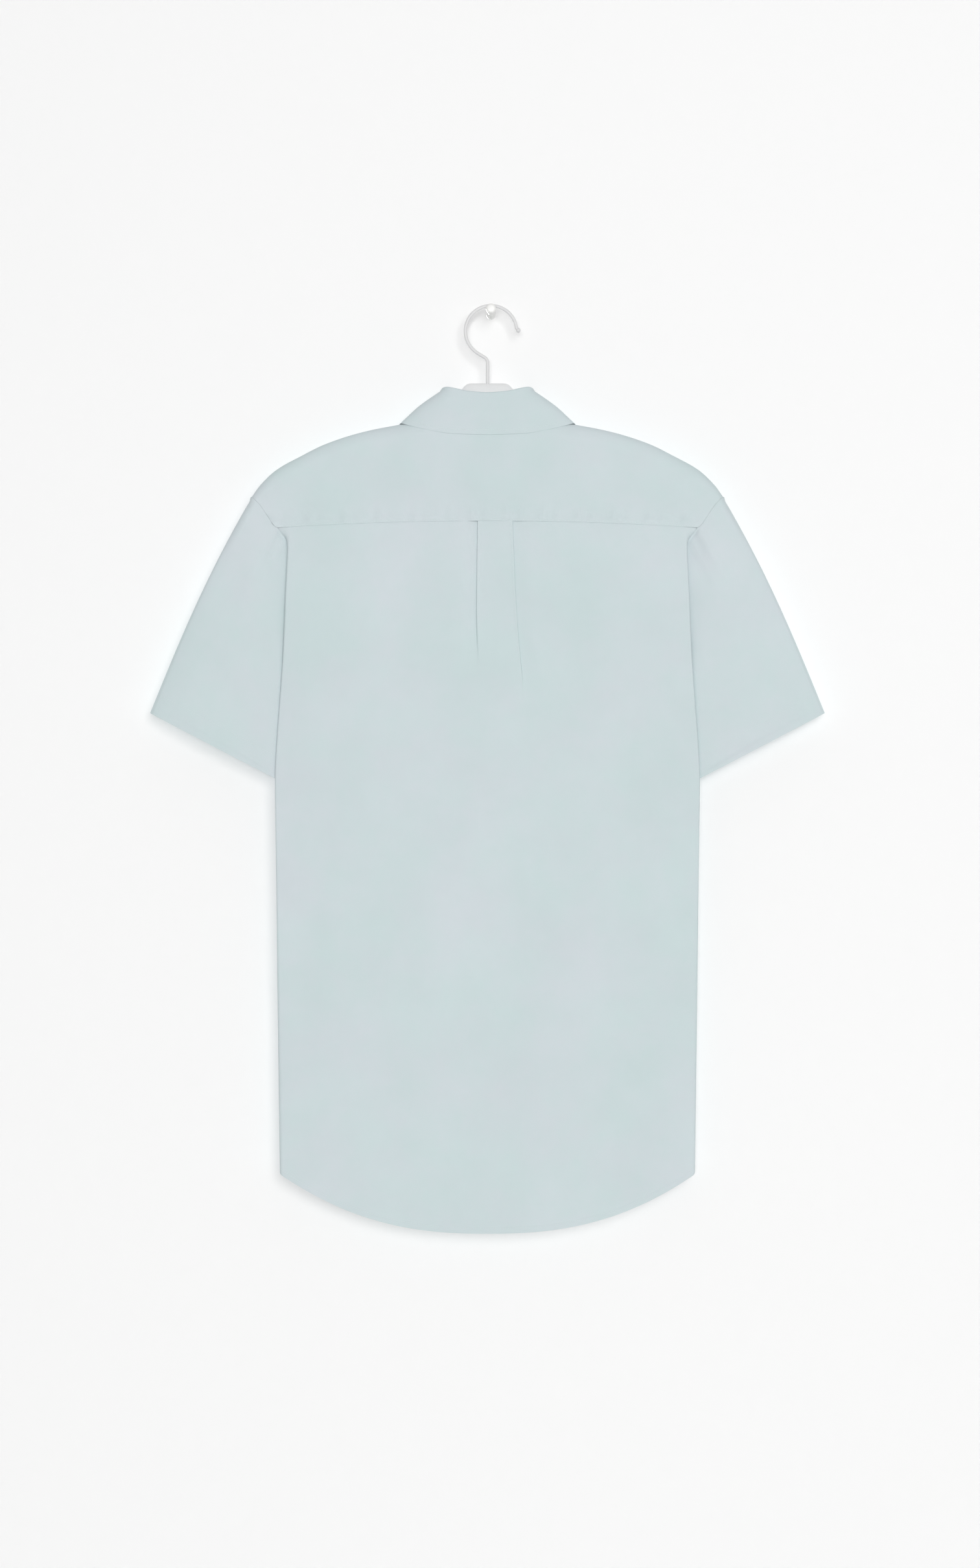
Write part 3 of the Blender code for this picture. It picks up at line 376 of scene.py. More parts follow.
moulded = hard_finish("polystyrene_moulded", "#E6E7E7", "#E1E2E3", 0.42, 1.59, 0.5, 0.15)
dipped = hard_finish("vinyl_dipped_wire", "#DCDCDC", "#D8D8D9", 0.5, 1.53, 1.2, 0.08)
lacquer = hard_finish("white_lacquer", "#EDEDEB", "#E6E6E4", 0.3, 1.52, 2.0, 0.06)
resin = hard_finish("polyester_resin_cast", "#DDE6E6", "#C9D6D8", 0.22, 1.56, 3.0, 0.03)
print("materials:", [m.name for m in (moulded, dipped, lacquer, resin)])

# %% [markdown]
# ## From a grid of points to cloth
#
# A cut piece of cloth is one sheet, so each one starts as a flat grid from `create_grid`. Its vertices
# are moved onto the points that the piece's function gives, and its UV map gets the unfolded distances.
# A Solidify modifier then gives the shell its thickness, evenly on both sides. A tube such as a sleeve
# has its first and last columns merged.

# %% Objects
def add_object(name, data):
    made = bpy.data.objects.new(name, data)
    bpy.context.scene.collection.objects.link(made)
    return made


def mesh_from(name, shape):
    """Turn a bmesh into a mesh, and free it."""
    mesh = bpy.data.meshes.new(name)
    shape.to_mesh(mesh)
    shape.free()
    return mesh


def add_piece(name, shape, surface, angle=40):
    """Turn a bmesh into an object that rides on the shirt's one body."""
    mesh = mesh_from(name, shape)
    mesh.materials.append(surface)
    mesh.shade_smooth()
    mesh.set_sharp_from_angle(angle=math.radians(angle))
    made = add_object(name, mesh)
    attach(made, "root")
    return made


def applied_mesh(piece):
    """The mesh that an object's modifiers or bevel give."""
    bpy.context.view_layer.update()
    return bpy.data.meshes.new_from_object(piece.evaluated_get(bpy.context.evaluated_depsgraph_get()))


# %% Cloth shells
def lay_grid(sheet, points):
    """Add a grid whose vertices lie on rows of points, with its unfolded distances as UVs."""
    rows, columns = len(points), len(points[0])
    made = bmesh.ops.create_grid(sheet, x_segments=columns - 1, y_segments=rows - 1, size=0.5)
    grain = sheet.loops.layers.uv.verify()
    across = [distances(row) for row in points]
    down = transposed(distances(column) for column in transposed(points))
    for vertex in made["verts"]:
        row = round((vertex.co.y + 0.5) * (rows - 1))
        column = round((vertex.co.x + 0.5) * (columns - 1))
        vertex.co = points[row][column]
        for loop in vertex.link_loops:
            loop[grain].uv = (across[row][column] - across[row][-1] / 2, down[row][column])


def cloth(name, grids, thickness=CLOTH):
    """One cut piece: its grids are joined where they meet, and it gets a wall."""
    sheet = bmesh.new()
    for points in grids:
        lay_grid(sheet, points)
    bmesh.ops.remove_doubles(sheet, verts=sheet.verts, dist=2e-6)
    bmesh.ops.recalc_face_normals(sheet, faces=sheet.faces)
    sheet.verts.index_update()
    sheet.edges.index_update()
    inside = [vertex.index for vertex in sheet.verts if not vertex.is_boundary]
    rim = [edge.index for edge in sheet.edges if edge.is_boundary]
    made = add_piece(name, sheet, cotton, angle=60)
    full = made.vertex_groups.new(name="full")
    full.add(inside, 1.0, "REPLACE")
    wall = made.modifiers.new("wall", "SOLIDIFY")
    wall.thickness = thickness * 0.001
    wall.offset = 0.0
    wall.vertex_group = full.name
    wall.thickness_vertex_group = THIN_EDGE
    for index in rim:
        made.data.edges[index].use_edge_sharp = True
    print(name, len(made.data.polygons), "faces in the sheet")
    return made


# %% [markdown]
# ## Creases
#
# The cloth was steamed, so it has only a few soft creases. Each is a line on the panel with a width and a
# height: a ridge where the height is above 0 and a trough where it is below. They differ in length, slant
# and spacing, as creases left by hands and gravity do.

# %% Crease tables
CREASE = "across height end_across end_height width rise"
BACK_CREASES = table(
    CREASE, (-140, -415, -146, -560, 9, 0.55), (-158, -480, -150, -700, 16, 0.7),
    (-96, -560, -108, -840, 22, -0.8), (-46, -640, -38, -880, 18, 0.5), (-70, -250, -62, -420, 26, -0.6),
    (56, -312, 138, -338, 7, 0.5), (66, -326, 128, -330, 6, -0.35), (104, -240, 92, -470, 24, 0.7),
    (150, -520, 141, -800, 18, -0.7), (96, -640, 112, -890, 22, 0.75), (20, -470, 26, -700, 20, -0.5),
    (172, -300, 160, -470, 12, 0.5), (-172, -260, -166, -400, 14, -0.45), (60, -860, 20, -905, 14, 0.4),
    (-10, -500, -4, -640, 10, 0.35), (128, -430, 150, -452, 6, 0.3), (-150, -430, -132, -520, 12, -0.7),
    (-60, -470, -10, -520, 9, -0.5), (-6, -480, 2, -530, 9, -0.8), (-180, -620, -170, -880, 26, -1.0),
    (-120, -653, 178, -656, 5, 0.22), (-150, -696, 190, -697, 5, -0.22), (190, -260, 188, -560, 14, 0.7),
    (-190, -260, -186, -560, 14, 0.6))
YOKE_CREASES = table(
    CREASE, (-28, -132, -44, -196, 15, -0.9), (8, -140, 14, -200, 16, 0.5),
    (-180, -190, -196, -205, 14, -0.9), (150, -186, 182, -206, 15, -0.9), (-120, -150, -90, -196, 20, 0.6),
    (92, -150, 110, -196, 20, 0.6), (-150, -150, -176, -186, 12, 0.4), (186, -170, 196, -200, 9, 0.5))
FRONT_CREASES = table(
    CREASE, (60, -300, 72, -620, 20, 0.8), (120, -250, 110, -480, 22, -0.8), (96, -560, 84, -860, 20, 0.7),
    (150, -440, 158, -760, 16, 0.6), (40, -640, 48, -870, 14, -0.6), (134, -640, 126, -830, 15, -0.5),
    (80, -200, 150, -300, 12, 0.5), (160, -280, 132, -360, 9, 0.4))
SLEEVE_CREASES = table(
    CREASE, (232, -262, 262, -372, 9, 0.7), (248, -236, 292, -352, 12, -0.6),
    (222, -300, 238, -420, 10, -0.6), (272, -318, 300, -398, 14, 0.6), (224, -248, 250, -262, 6, 0.35),
    (240, -340, 262, -430, 16, 0.5))
CREASE_FADES = (-0.15, 0.25, 0.75, 1.15)    # where along its line a crease starts, is full and ends
CALM = 40.0                                 # creases die out over this distance to a seam
WAVES = ((0.27, 1.0, 1.0), (0.41, 2.1, 0.7), (0.13, 3.7, 0.5))  # radians a mm, share of the seed, height


def relief(creases, across, height, slide=0.0):
    """How far the cloth stands out there, summed over the creases. slide moves them along a little."""
    total = 0.0
    for c in creases:
        run = Vector((c.end_across - c.across, c.end_height - c.height))
        here = Vector((across - c.across, height - c.height - slide))
        along = here.dot(run) / run.length_squared
        if CREASE_FADES[0] < along < CREASE_FADES[-1]:
            off = abs(here.x * run.y - here.y * run.x) / run.length
            total += c.rise * band(along, *CREASE_FADES) * math.exp(-(off / c.width) ** 2)
    return total


def wander(at, seed):
    """A slow, uneven wave between about -1 and 1, for puckers along a seam."""
    sum_of_waves = sum(height * math.sin(at * pace + part * seed) for pace, part, height in WAVES)
    return sum_of_waves / sum(height for _, _, height in WAVES)


print("creases:", len(BACK_CREASES) + len(YOKE_CREASES) + len(FRONT_CREASES) + len(SLEEVE_CREASES))

# %% [markdown]
# ## The yoke
#
# The yoke is the doubled piece over the shoulders. It goes up the back, rounds over the hanger's arm and
# comes down to a straight seam in front. Its lower back edge is turned under and topstitched close to the
# fold, and the stitches draw the cloth up into small puckers, which is what makes the seam look sewn.

# %% The yoke's form
LAP_EDGE, LAP_RISE, LAP_ROUND = 0.49, 0.6, 3.0  # how proud its edge is, then the cloth this far above it
LAP_FADES, LAP_ENDS = 4.0, 10.0                 # and between these heights it sinks to the panel's level
SINKS = ((-20.5, 5.0, 0.85), (23.5, 5.5, 0.45))     # dips at the pleat's folds: place, width and depth
SINK_FULL = 1.0                                 # up to this height above the edge
PUCKER, PUCKER_PACE, PUCKER_SEED = 1.6, 1.3, 1.3    # the small puckers above the stitches
PUCKER_BAND = (0.0, 5.0, 5.0, 19.0)
YOKE_CALM, SHOULDER_CALM = 16.0, 0.65           # creases are full above this, and up to this turn
NECK_LAP = 4.0                                  # the front lap starts over this distance from the neck
YOKE_COLUMNS = 62


def yoke_seam_height(across):
    return mix(YOKE_SEAM_MIDDLE, YOKE_CORNER[1], (across / YOKE_CORNER[0]) ** 2)


def front_seam_height(across):
    share = (abs(across) - NECK_HALF_WIDTH) / (YOKE_CORNER[0] - NECK_HALF_WIDTH)
    return mix(NECK_FRONT_HEIGHT, YOKE_CORNER[1], share)


def shoulder_point(across, turn):
    """A point of the yoke. A turn is 0 at the back seam, 1 to 2 over the shoulder, 3 at the front seam."""
    spring = follow(SHOULDER_LINE, "across", "height", abs(across)) - SHOULDER_ROUND
    if turn <= 1:
        return across, BACK_DEPTH, mix(yoke_seam_height(across), spring, turn)
    if turn >= 2:
        return across, FRONT_DEPTH, mix(spring, front_seam_height(across), turn - 2)
    angle = math.pi * (turn - 1)
    return across, MIDDLE_DEPTH - HALF_DEPTH * math.cos(angle), spring + SHOULDER_ROUND * math.sin(angle)


def yoke_side(turn):
    """How far out the yoke's armhole edge is."""
    lift = min(turn, 3 - turn)
    if lift <= 1:
        return mix(YOKE_CORNER[0], SPRING_REACH, lift ** YOKE_EDGE_CURVE)
    return mix(SPRING_REACH, SHOULDER_REACH, math.sin(math.pi * (lift - 1)))


def lap_rise(above):
    """How far the yoke stands proud, at a height above its edge."""
    return mix(LAP_EDGE, LAP_RISE, ramp(above, 0.0, LAP_ROUND)) * ramp(above, LAP_ENDS, LAP_FADES)


def pleat_sink(across, above):
    """How far the yoke sinks beside the folds of the pleat below it."""
    dips = sum(depth * math.exp(-((across - place) / width) ** 2) for place, width, depth in SINKS)
    return dips * ramp(above, LAP_ENDS, SINK_FULL)


def yoke_point(row, share, side):
    turn = mix(row.neck_turn, row.side_turn, ease(share))
    across, depth, height = shoulder_point(mix(row.across, yoke_side(row.side_turn) - TRIM, share), turn)
    x = across * side
    if turn < 1:
        above = height - yoke_seam_height(across)
        depth += pleat_sink(x, above) - lap_rise(above)
        calm = ramp(above, 0.0, YOKE_CALM) * ramp(turn, 1.0, SHOULDER_CALM)
        depth -= relief(YOKE_CREASES, x, height) * calm
        depth -= PUCKER * wander(x * PUCKER_PACE, PUCKER_SEED) * band(above, *PUCKER_BAND)
    if turn > 2:
        neck = ramp(across, NECK_HALF_WIDTH, NECK_HALF_WIDTH + NECK_LAP)
        depth += lap_rise(height - front_seam_height(across)) * neck
    return metres(x, depth, height)


# %% Build the yoke
yoke_levels = [0.0]
for index, count in enumerate(YOKE_STEPS):
    yoke_levels += steps(index, index + 1, count)
FINE_YOKE_ROWS = [follow_row(YOKE_ROWS, None, at) for at in yoke_levels]
yoke_halves = {side: [[yoke_point(row, share, side) for share in shares(YOKE_COLUMNS)]
                      for row in FINE_YOKE_ROWS] for side in (1, -1)}
yoke = cloth("yoke_cloth", [yoke_halves[1], yoke_halves[-1]])
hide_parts("yoke")

# %% [markdown]
# ## The panels' side tucks and armholes
#
# The shirt is wider than what shows: each side is folded under, and the folded strip runs back in to the
# side seam. The armhole is cut into that strip. In plan this is one route: round the fold, along the
# strip and a quarter turn into the seam, where the back meets the front.

# %% Routes of the side tuck
LEAST_LEAN = 0.25
SPREAD_BELOW = 60.0             # below the tuck's full height the columns take this long to settle
FOLD_SHARE, FOLD_MOST = 4 / 9, 0.8      # where the fold's columns end above that, and at most below it
TUCK_SHARE, TUCK_END, TUCK_END_UNDERARM = 6 / 9, 0.72, 0.85     # and the tuck's columns


def side_route(height, inset):
    """Where the route leaves the flat panel, and its pieces: the fold, the strip and the turn."""
    radius = mix(TUCK_RADIUS, TUCK_RADIUS_LOW, ramp(height, SOFTER_FROM, SOFTER_FULL))
    turn = math.pi * max(LEAST_TURN, ramp(height, TUCK_START, TUCK_FULL))
    start = follow(FOLD_EDGE, "height", "across", height) - radius - inset
    groove = HALF_DEPTH - 2 * radius
    strip = start - SIDE_SEAM_ACROSS - groove
    return start, [(math.pi * radius, turn), (strip, 0.0), (math.pi / 2 * groove, -math.pi / 2)]


def armhole_slope(height):
    return clamp((ARMHOLE_TURN - height) / (ARMHOLE_TURN - UNDERARM))


def armhole_lean(height):
    """How much the cloth that leaves the armhole's edge there goes outwards, and how much up."""
    if height <= UNDERARM:
        return 1.0, 0.0
    depth = armhole_slope(height)
    drop = (ARMHOLE_TURN - UNDERARM) * math.sqrt(1 - depth * depth)
    rise = ARMHOLE_REACH * depth
    return drop / math.hypot(drop, rise), rise / math.hypot(drop, rise)


def side_length(height, inset):
    """Length of the side's route, which ends at the armhole or at the side seam."""
    start, pieces = side_route(height, inset)
    full = sum(length for length, _ in pieces)
    if height <= UNDERARM:
        return full
    underarm_reach = start + full + inset
    top = follow(ARMHOLE_EDGE, "height", "across", height)
    depth = armhole_slope(height)
    reach = underarm_reach - (underarm_reach - top) * math.sqrt(1 - depth * depth)
    return reach - start - inset


def front_inset(height):
    return FRONT_INSET * ramp(height, INSET_FROM, INSET_FULL)


def side_point(height, inset, group, share):
    """Plan position in the fold, the tuck or the turn at the side seam, and its unfolded reach."""
    start, pieces = side_route(height, inset)
    length = side_length(height, inset) - TRIM / max(armhole_lean(height)[0], LEAST_LEAN)
    spread = ramp(height, TUCK_FULL, TUCK_FULL - SPREAD_BELOW)
    fold = mix(length * FOLD_SHARE, min(pieces[0][0], FOLD_MOST * length), spread)
    end = mix(TUCK_END, TUCK_END_UNDERARM, armhole_slope(height) ** 6)
    tuck = mix(length * TUCK_SHARE, min(fold + pieces[1][0], mix(fold, length, end)), spread)
    near, far = {"fold": (0.0, fold), "tuck": (fold, tuck), "turn": (tuck, length)}[group]
    x, y, _ = walk((start, BACK_DEPTH, 0.0), pieces, mix(near, far, share))
    return x, y, start + mix(near, far, share)


# %% Rows and columns of a panel
HEM_ROWS = (HEM_FOLD, HEM_FOLD - 0.6, 3.0, 0.4, 0.0)    # distances above the hem's edge
HEM_ROOM = HEM_FOLD + 1.0                               # the other rows end this far above it
ARMHOLE_SPACING, BODY_ROWS = 5.0, 74


def columns(**groups):
    """Columns of a panel as (group, share), from each group's count of even steps or its own shares."""
    return [(group, share) for group, across in groups.items()
            for share in (steps(0, 1, across) if isinstance(across, int) else across)]


FINE_ARMHOLE = [ARMHOLE_ROWS[0]]
for before, after in zip(ARMHOLE_ROWS, ARMHOLE_ROWS[1:]):
    FINE_ARMHOLE += steps(before, after, max(1, round((before - after) / ARMHOLE_SPACING)))
PANEL_TOP = FINE_ARMHOLE[0]
FINE_ROWS = FINE_ARMHOLE[:-1] + [UNDERARM - TRIM]
FINE_ROWS += steps(UNDERARM - TRIM, SIDE_HEM + HEM_ROOM, BODY_ROWS)
SIDE_COLUMNS = columns(fold=9, tuck=7, turn=5)
print("rows down a panel:", len(FINE_ROWS) + len(HEM_ROWS))


def hem_height(reach, full_reach, middle):
    if middle == FRONT_HEM:
        return mix(middle, SIDE_HEM, (reach / full_reach) ** FRONT_HEM_CURVE)
    if reach <= HEM_CORNER_REACH:
        return middle + HEM_CORNER_RISE * (reach / HEM_CORNER_REACH) ** BACK_HEM_CURVE
    share = (reach - HEM_CORNER_REACH) / (full_reach - HEM_CORNER_REACH)
    return mix(middle + HEM_CORNER_RISE, SIDE_HEM, math.sin(share * math.pi / 2))


def hem_swell(above):
    return HEM_SWELL * ramp(above - HEM_FOLD, *HEM_STEP)


def panel_heights(top, bottom):
    """Heights down one column. The hem's own rows keep their distance from its edge."""
    fall = (bottom + HEM_ROOM - top) / (SIDE_HEM + HEM_ROOM - PANEL_TOP)
    return [top + (row - PANEL_TOP) * fall for row in FINE_ROWS] + [bottom + rise for rise in HEM_ROWS]


# %% [markdown]
# ## The back panel and its box pleat
#
# The box pleat gives the back its ease. Its two folds lie proud of the panel at the yoke, with a strip of
# cloth doubled under each, and lower down they open and fade into the panel. The route in plan does this
# again: out along the box, round the fold, back under it and out again.

# %% The back's form
PLEAT_UNDERLAP, LEAST_UNDERLAP, PLEAT_CLOSED, LEAST_FOLD = 13.5, 0.5, -212.0, 0.006
PLEAT_RADIUS = {-1: 0.42, 1: 0.26}                      # of its left and right folds
PLEAT_RELEASED, PLEAT_FLAT = {-1: -275.0, 1: -305.0}, {-1: -365.0, 1: -400.0}
PLEAT_RISE, PLEAT_ROOT = 15.0, 2.5
PLEAT_RIDGE, RIDGE_SHARPNESS, RIDGE_START = 0.4, 12, 12.0   # the folds' pressed ridges
BOX_FLAT, PANEL_FLAT = 0.5, 0.12                        # shares of the box and the panel beside a fold
SEAM_PUCKER, SEAM_SEED, SEAM_BAND = 0.22, 4.1, (0.0, 3.0, 6.0, 26.0)    # the puckers below the yoke
PLEAT_GROUPS = ("box", "pleat_edge", "under", "pleat_root", "hidden")
SIDE_GROUPS = ("fold", "tuck", "turn")
BACK_COLUMNS = columns(box=(0.2, 0.4, 0.6, 0.74, 0.84, 0.9, 0.94, 0.97, 1.0), pleat_edge=5, under=3,
                       pleat_root=5, hidden=1, rise=9, panel=34) + SIDE_COLUMNS


def pleat_opened(height, side):
    return ramp(height, PLEAT_RELEASED[side], PLEAT_FLAT[side])


def back_pleat(height, side):
    """The middle of the pleat and the route from there out to the panel."""
    edges = follow_row(PLEAT_EDGES, "height", height)
    half = (edges.right - edges.left) / 2
    under = PLEAT_UNDERLAP * ramp(height, PLEAT_RELEASED[side], PLEAT_CLOSED)
    turn = math.pi * max(LEAST_FOLD, 1 - pleat_opened(height, side))
    bend = math.pi * PLEAT_RADIUS[side]
    return (edges.left + edges.right) / 2 * side, [
        (half - PLEAT_RADIUS[side], 0.0), (bend, turn), (under + LEAST_UNDERLAP, 0.0), (bend, -turn),
        (under + PLEAT_ROOT, 0.0)]


def back_plan(height, side, group, share):
    """Plan position of one column of the back, and its unfolded reach."""
    if group in SIDE_GROUPS:
        return side_point(height, 0.0, group, share)
    middle, pieces = back_pleat(height, side)
    lengths = [length for length, _ in pieces]
    if group in PLEAT_GROUPS:
        index = PLEAT_GROUPS.index(group)
        distance = sum(lengths[:index]) + lengths[index] * share
        x, y, _ = walk((middle, BACK_DEPTH, 0.0), pieces, distance)
        return x, y, x
    x, y, _ = walk((middle, BACK_DEPTH, 0.0), pieces, sum(lengths))
    if group == "rise":
        return x + PLEAT_RISE * share, mix(y, BACK_DEPTH, ease(share)), x + PLEAT_RISE * share
    across = mix(x + PLEAT_RISE, side_route(height, 0.0)[0], share)
    return across, BACK_DEPTH, across


def back_column(side, column):
    """One column of the back, from under the yoke's edge to the hem."""
    group, share = column
    reach = abs(back_plan(SIDE_HEM, side, group, share)[2])
    bottom = hem_height(reach, back_plan(SIDE_HEM, side, "turn", 1.0)[2], BACK_HEM)
    seam = yoke_seam_height(back_plan(PANEL_TOP, side, group, share)[0])
    top = max(seam, YOKE_CORNER[1]) + LAP * (group not in SIDE_GROUPS)
    closed = {"box": ramp(share, 1.0, 1 - BOX_FLAT), "panel": ramp(share, 0.0, PANEL_FLAT)}.get(group, 0.0)
    inner = ramp(share, 1.0, 1 - PANEL_FLAT) if group == "panel" else float(group not in SIDE_GROUPS)
    ridge = {"box": math.exp(-((1 - share) * RIDGE_SHARPNESS) ** 2),
             "pleat_edge": 1 - ease(share)}.get(group, 0.0)
    points = []
    for height in panel_heights(top, bottom):
        x, y, _ = back_plan(height, side, group, share)
        below = top - height
        opened = pleat_opened(height, side)
        flat = inner * mix(closed, 1.0, opened)
        y -= PLEAT_RIDGE * ridge * (1 - opened) * ramp(below, 0.0, RIDGE_START)
        y -= flat * ramp(below, 0.0, CALM) * relief(BACK_CREASES, x * side, height)
        y += SEAM_PUCKER * flat * wander(x * side, SEAM_SEED) * band(below, *SEAM_BAND)
        y -= flat * hem_swell(height - bottom)
        points.append(metres(x * side, y, height))
    return points


# %% Build the back
back_columns = [back_column(-1, column) for column in reversed(BACK_COLUMNS)]
back_columns += [back_column(1, column) for column in [("box", 0.0)] + BACK_COLUMNS]
back_grid = transposed(back_columns)
back = cloth("back_cloth", [back_grid])
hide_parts("back")

# %% [markdown]
# ## The fronts and the placket
#
# They face the wall, so the photograph hides them, and they are finished plainly. The left front ends at
# the placket, a folded band. The right front steps in and runs on beneath it. Both necklines follow an
# oval that meets the yoke's neck edge.

# %% The fronts' form
UNDERLAP_STEP, UNDERLAP_END, UNDERLAP_FULL = 2.1, 25.5, 18.5    # the right front under the placket
FRONT_FLAT, UNDERLAP_FLAT, FRONT_SLIDE = 0.15, 12.0, 18.0
FIRST_ACROSS = {-1: PLACKET_WIDTH / 2 + 0.1, 1: 1.5 - PLACKET_WIDTH / 2}
FRONT_ACROSS, LEAST_SPACING, FRONT_PANEL_COLUMNS = [-12, -6, 17.5, 24], 1.2, 26
NECKLINE_ACROSS = [NECK_HALF_WIDTH * math.cos(math.radians(angle)) for angle in range(90, -1, -5)]


def front_top(across):
    if across < NECK_HALF_WIDTH:
        drop = NECK_FRONT_HEIGHT - NECKLINE_BOTTOM
        return NECK_FRONT_HEIGHT - drop * math.sqrt(1 - (max(across, 0) / NECK_HALF_WIDTH) ** 2)
    return front_seam_height(across)


def front_depth(across, side):
    return FRONT_DEPTH - UNDERLAP_STEP * ramp(across, UNDERLAP_END, UNDERLAP_FULL) * (side > 0)


def front_plan(height, side, group, share):
    inset = front_inset(height)
    if group == "neckline":
        return share, front_depth(share, side), share
    if group == "panel":
        across = mix(NECK_HALF_WIDTH, side_route(height, inset)[0], share)
        return across, FRONT_DEPTH, across
    x, y, reach = side_point(height, inset, group, share)
    return x, 2 * MIDDLE_DEPTH - y, reach


def front_hem(reach, side):
    return hem_height(abs(reach), front_plan(SIDE_HEM, side, "turn", 1.0)[2], FRONT_HEM)


def front_column(side, column):
    group, share = column
    bottom = front_hem(front_plan(SIDE_HEM, side, group, share)[2], side)
    top = front_top(front_plan(PANEL_TOP, side, group, share)[0]) + LAP * (group == "panel" and share < 1)
    if column == SIDE_COLUMNS[-1]:
        top = PANEL_TOP
    flat = {"panel": ramp(share, 1.0, 1 - FRONT_FLAT),
            "neckline": ramp(share, UNDERLAP_END, UNDERLAP_END + UNDERLAP_FLAT)}.get(group, 0.0)
    points = []
    for height in panel_heights(top, bottom):
        x, y, _ = front_plan(height, side, group, share)
        y += flat * ramp(top - height, 0.0, CALM) * relief(FRONT_CREASES, x, height, FRONT_SLIDE * side)
        y += flat * hem_swell(height - bottom)
        points.append(metres(x * side, y, height))
    return points


# %% Build the fronts
front_grids = {}
for name, side, flat, area in (("front_left", -1, (0.250, 0.756), 0.165),
                               ("front_right", 1, (0.284, 0.756), 0.187)):
    first = FIRST_ACROSS[side]
    inner = [first] + [x for x in sorted(FRONT_ACROSS + NECKLINE_ACROSS) if x > first + LEAST_SPACING]
    front_grids[side] = transposed(front_column(side, column) for column in
                                   columns(neckline=inner, panel=FRONT_PANEL_COLUMNS) + SIDE_COLUMNS)
    front = cloth(name + "_cloth", [front_grids[side]])
    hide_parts(name)

# %% Build the placket
PLACKET_ROWS, PLACKET_COLUMNS = 90, 12
RIPPLE, RIPPLE_SEED, RIPPLE_BAND = 0.22, 2.6, (0.0, 1.5, 2.0, 6.0)  # at these distances inside its edges

placket_grid = []
for level in shares(PLACKET_ROWS):
    row = []
    for share in shares(PLACKET_COLUMNS):
        across = mix(-PLACKET_WIDTH / 2, PLACKET_WIDTH / 2, share)
        height = mix(front_top(abs(across)), front_hem(across, -1), level)
        ripple = RIPPLE * wander(height, RIPPLE_SEED) * band(PLACKET_WIDTH / 2 - abs(across), *RIPPLE_BAND)
        row.append(metres(across, FRONT_DEPTH + ripple, height))
    placket_grid.append(row)
placket = cloth("placket_cloth", [placket_grid], thickness=PLACKET_WALL)
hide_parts("placket")

# %% [markdown]
# ## The collar
#
# A shirt collar is two pieces. The stand is a band that rises from the neckline. The fall is sewn to the
# stand's top, rolls over it and hangs down outside, to two points in front. The roll is what the eye
# reads first from behind, so its profile has extra points: up from the stand, out and over, then down.

# %% Tables of the collar
ROLL = "station across depth height"
FOLD_LINE = table(
    ROLL, (-0.12, -20.0, -30.4, -84.6), (0.00, 0.0, -30.4, -86.0), (0.12, 20.0, -30.4, -84.6),
    (0.20, 33.0, -30.2, -81.8), (0.26, 40.5, -27.4, -80.4), (0.32, 44.2, -22.0, -81.6),
    (0.37, 45.4, -16.0, -86.0), (0.42, 45.8, -12.3, -93.0), (0.50, 45.0, -11.3, -106.0),
    (0.60, 41.5, -10.9, -123.0), (0.74, 32.0, -10.6, -141.5), (0.88, 16.0, -10.5, -155.5),
    (1.00, 0.0, -10.5, -160.5))
OUTER_EDGE = table(
    ROLL, (-0.10, -33.8, -31.6, -124.7), (0.00, 0.0, -31.6, -125.7), (0.10, 33.8, -31.6, -124.7),
    (0.18, 61.0, -31.2, -120.6), (0.25, 80.0, -28.4, -115.6), (0.32, 88.6, -21.5, -112.6),
    (0.36, 89.4, -15.6, -113.2), (0.40, 89.6, -10.3, -118.5), (0.50, 84.5, -8.2, -142.0),
    (0.62, 74.5, -7.2, -168.0), (0.76, 62.0, -7.2, -195.0), (0.88, 50.0, -7.2, -217.0),
    (1.00, 3.5, -7.8, -165.0))
COLLAR_ROLL = table("up out", (0.4, 0.0), (1.8, 0.45), (2.3, 1.6), (1.4, 2.8), (-2.0, 3.0))
PRESS = table(                  # the fall is pressed this far towards the yoke
    "station inward", (-0.18, 2.0), (0.18, 2.0), (0.25, 2.6), (0.32, 1.6), (0.37, 0.8), (0.46, 0.0))
PRESS_START = 0.4               # from this share of its drop down to its edge
COLLAR_BELLY, COLLAR_END, COLLAR_WALL, ROLL_STEP = 1.2, 0.985, 0.7, 0.01
FLUTTER, FLUTTER_WAVES, FLUTTER_SEED, FLUTTER_ZONE = 0.25, 190, 5.2, (0.2, 0.3)
ROLL_ROWS, FALL_ROWS, STAND_ROWS = 16, 15, 6
STAND_GAP, STAND_END, STAND_END_RISE, STAND_END_SHARES = 0.3, 11.0, 0.6, (0.35, 0.7, 1.0)

# %% Stations round the neck
neck_route = [Vector(shoulder_point(row.across, row.neck_turn))
              for row, at in zip(FINE_YOKE_ROWS, yoke_levels) if at >= 2]
neck_route += [Vector((across, FRONT_DEPTH, front_top(across)))
               for across in reversed(NECKLINE_ACROSS[:-1])]
neck_lengths = distances(neck_route)
neck_stations = [length / neck_lengths[-1] for length in neck_lengths]
print("half of the neckline:", round(neck_lengths[-1], 1), "mm")


def along_roll(rows, station, side):
    row = follow_row(rows, "station", station)
    return Vector((row.across * side, row.depth, row.height))


def neck_foot(station, side):
    index = max(n for n in range(len(neck_stations) - 1) if neck_stations[n] <= station)
    share = (station - neck_stations[index]) / (neck_stations[index + 1] - neck_stations[index])
    foot = neck_route[index].lerp(neck_route[index + 1], share)
    return Vector((foot.x * side, foot.y, foot.z))


def collar_columns(make_column):
    """Columns from the wearer's left end round the back of the neck to the right end."""
    left = [make_column(station, -1) for station in reversed(neck_stations)]
    return left + [make_column(station, 1) for station in neck_stations[1:]]


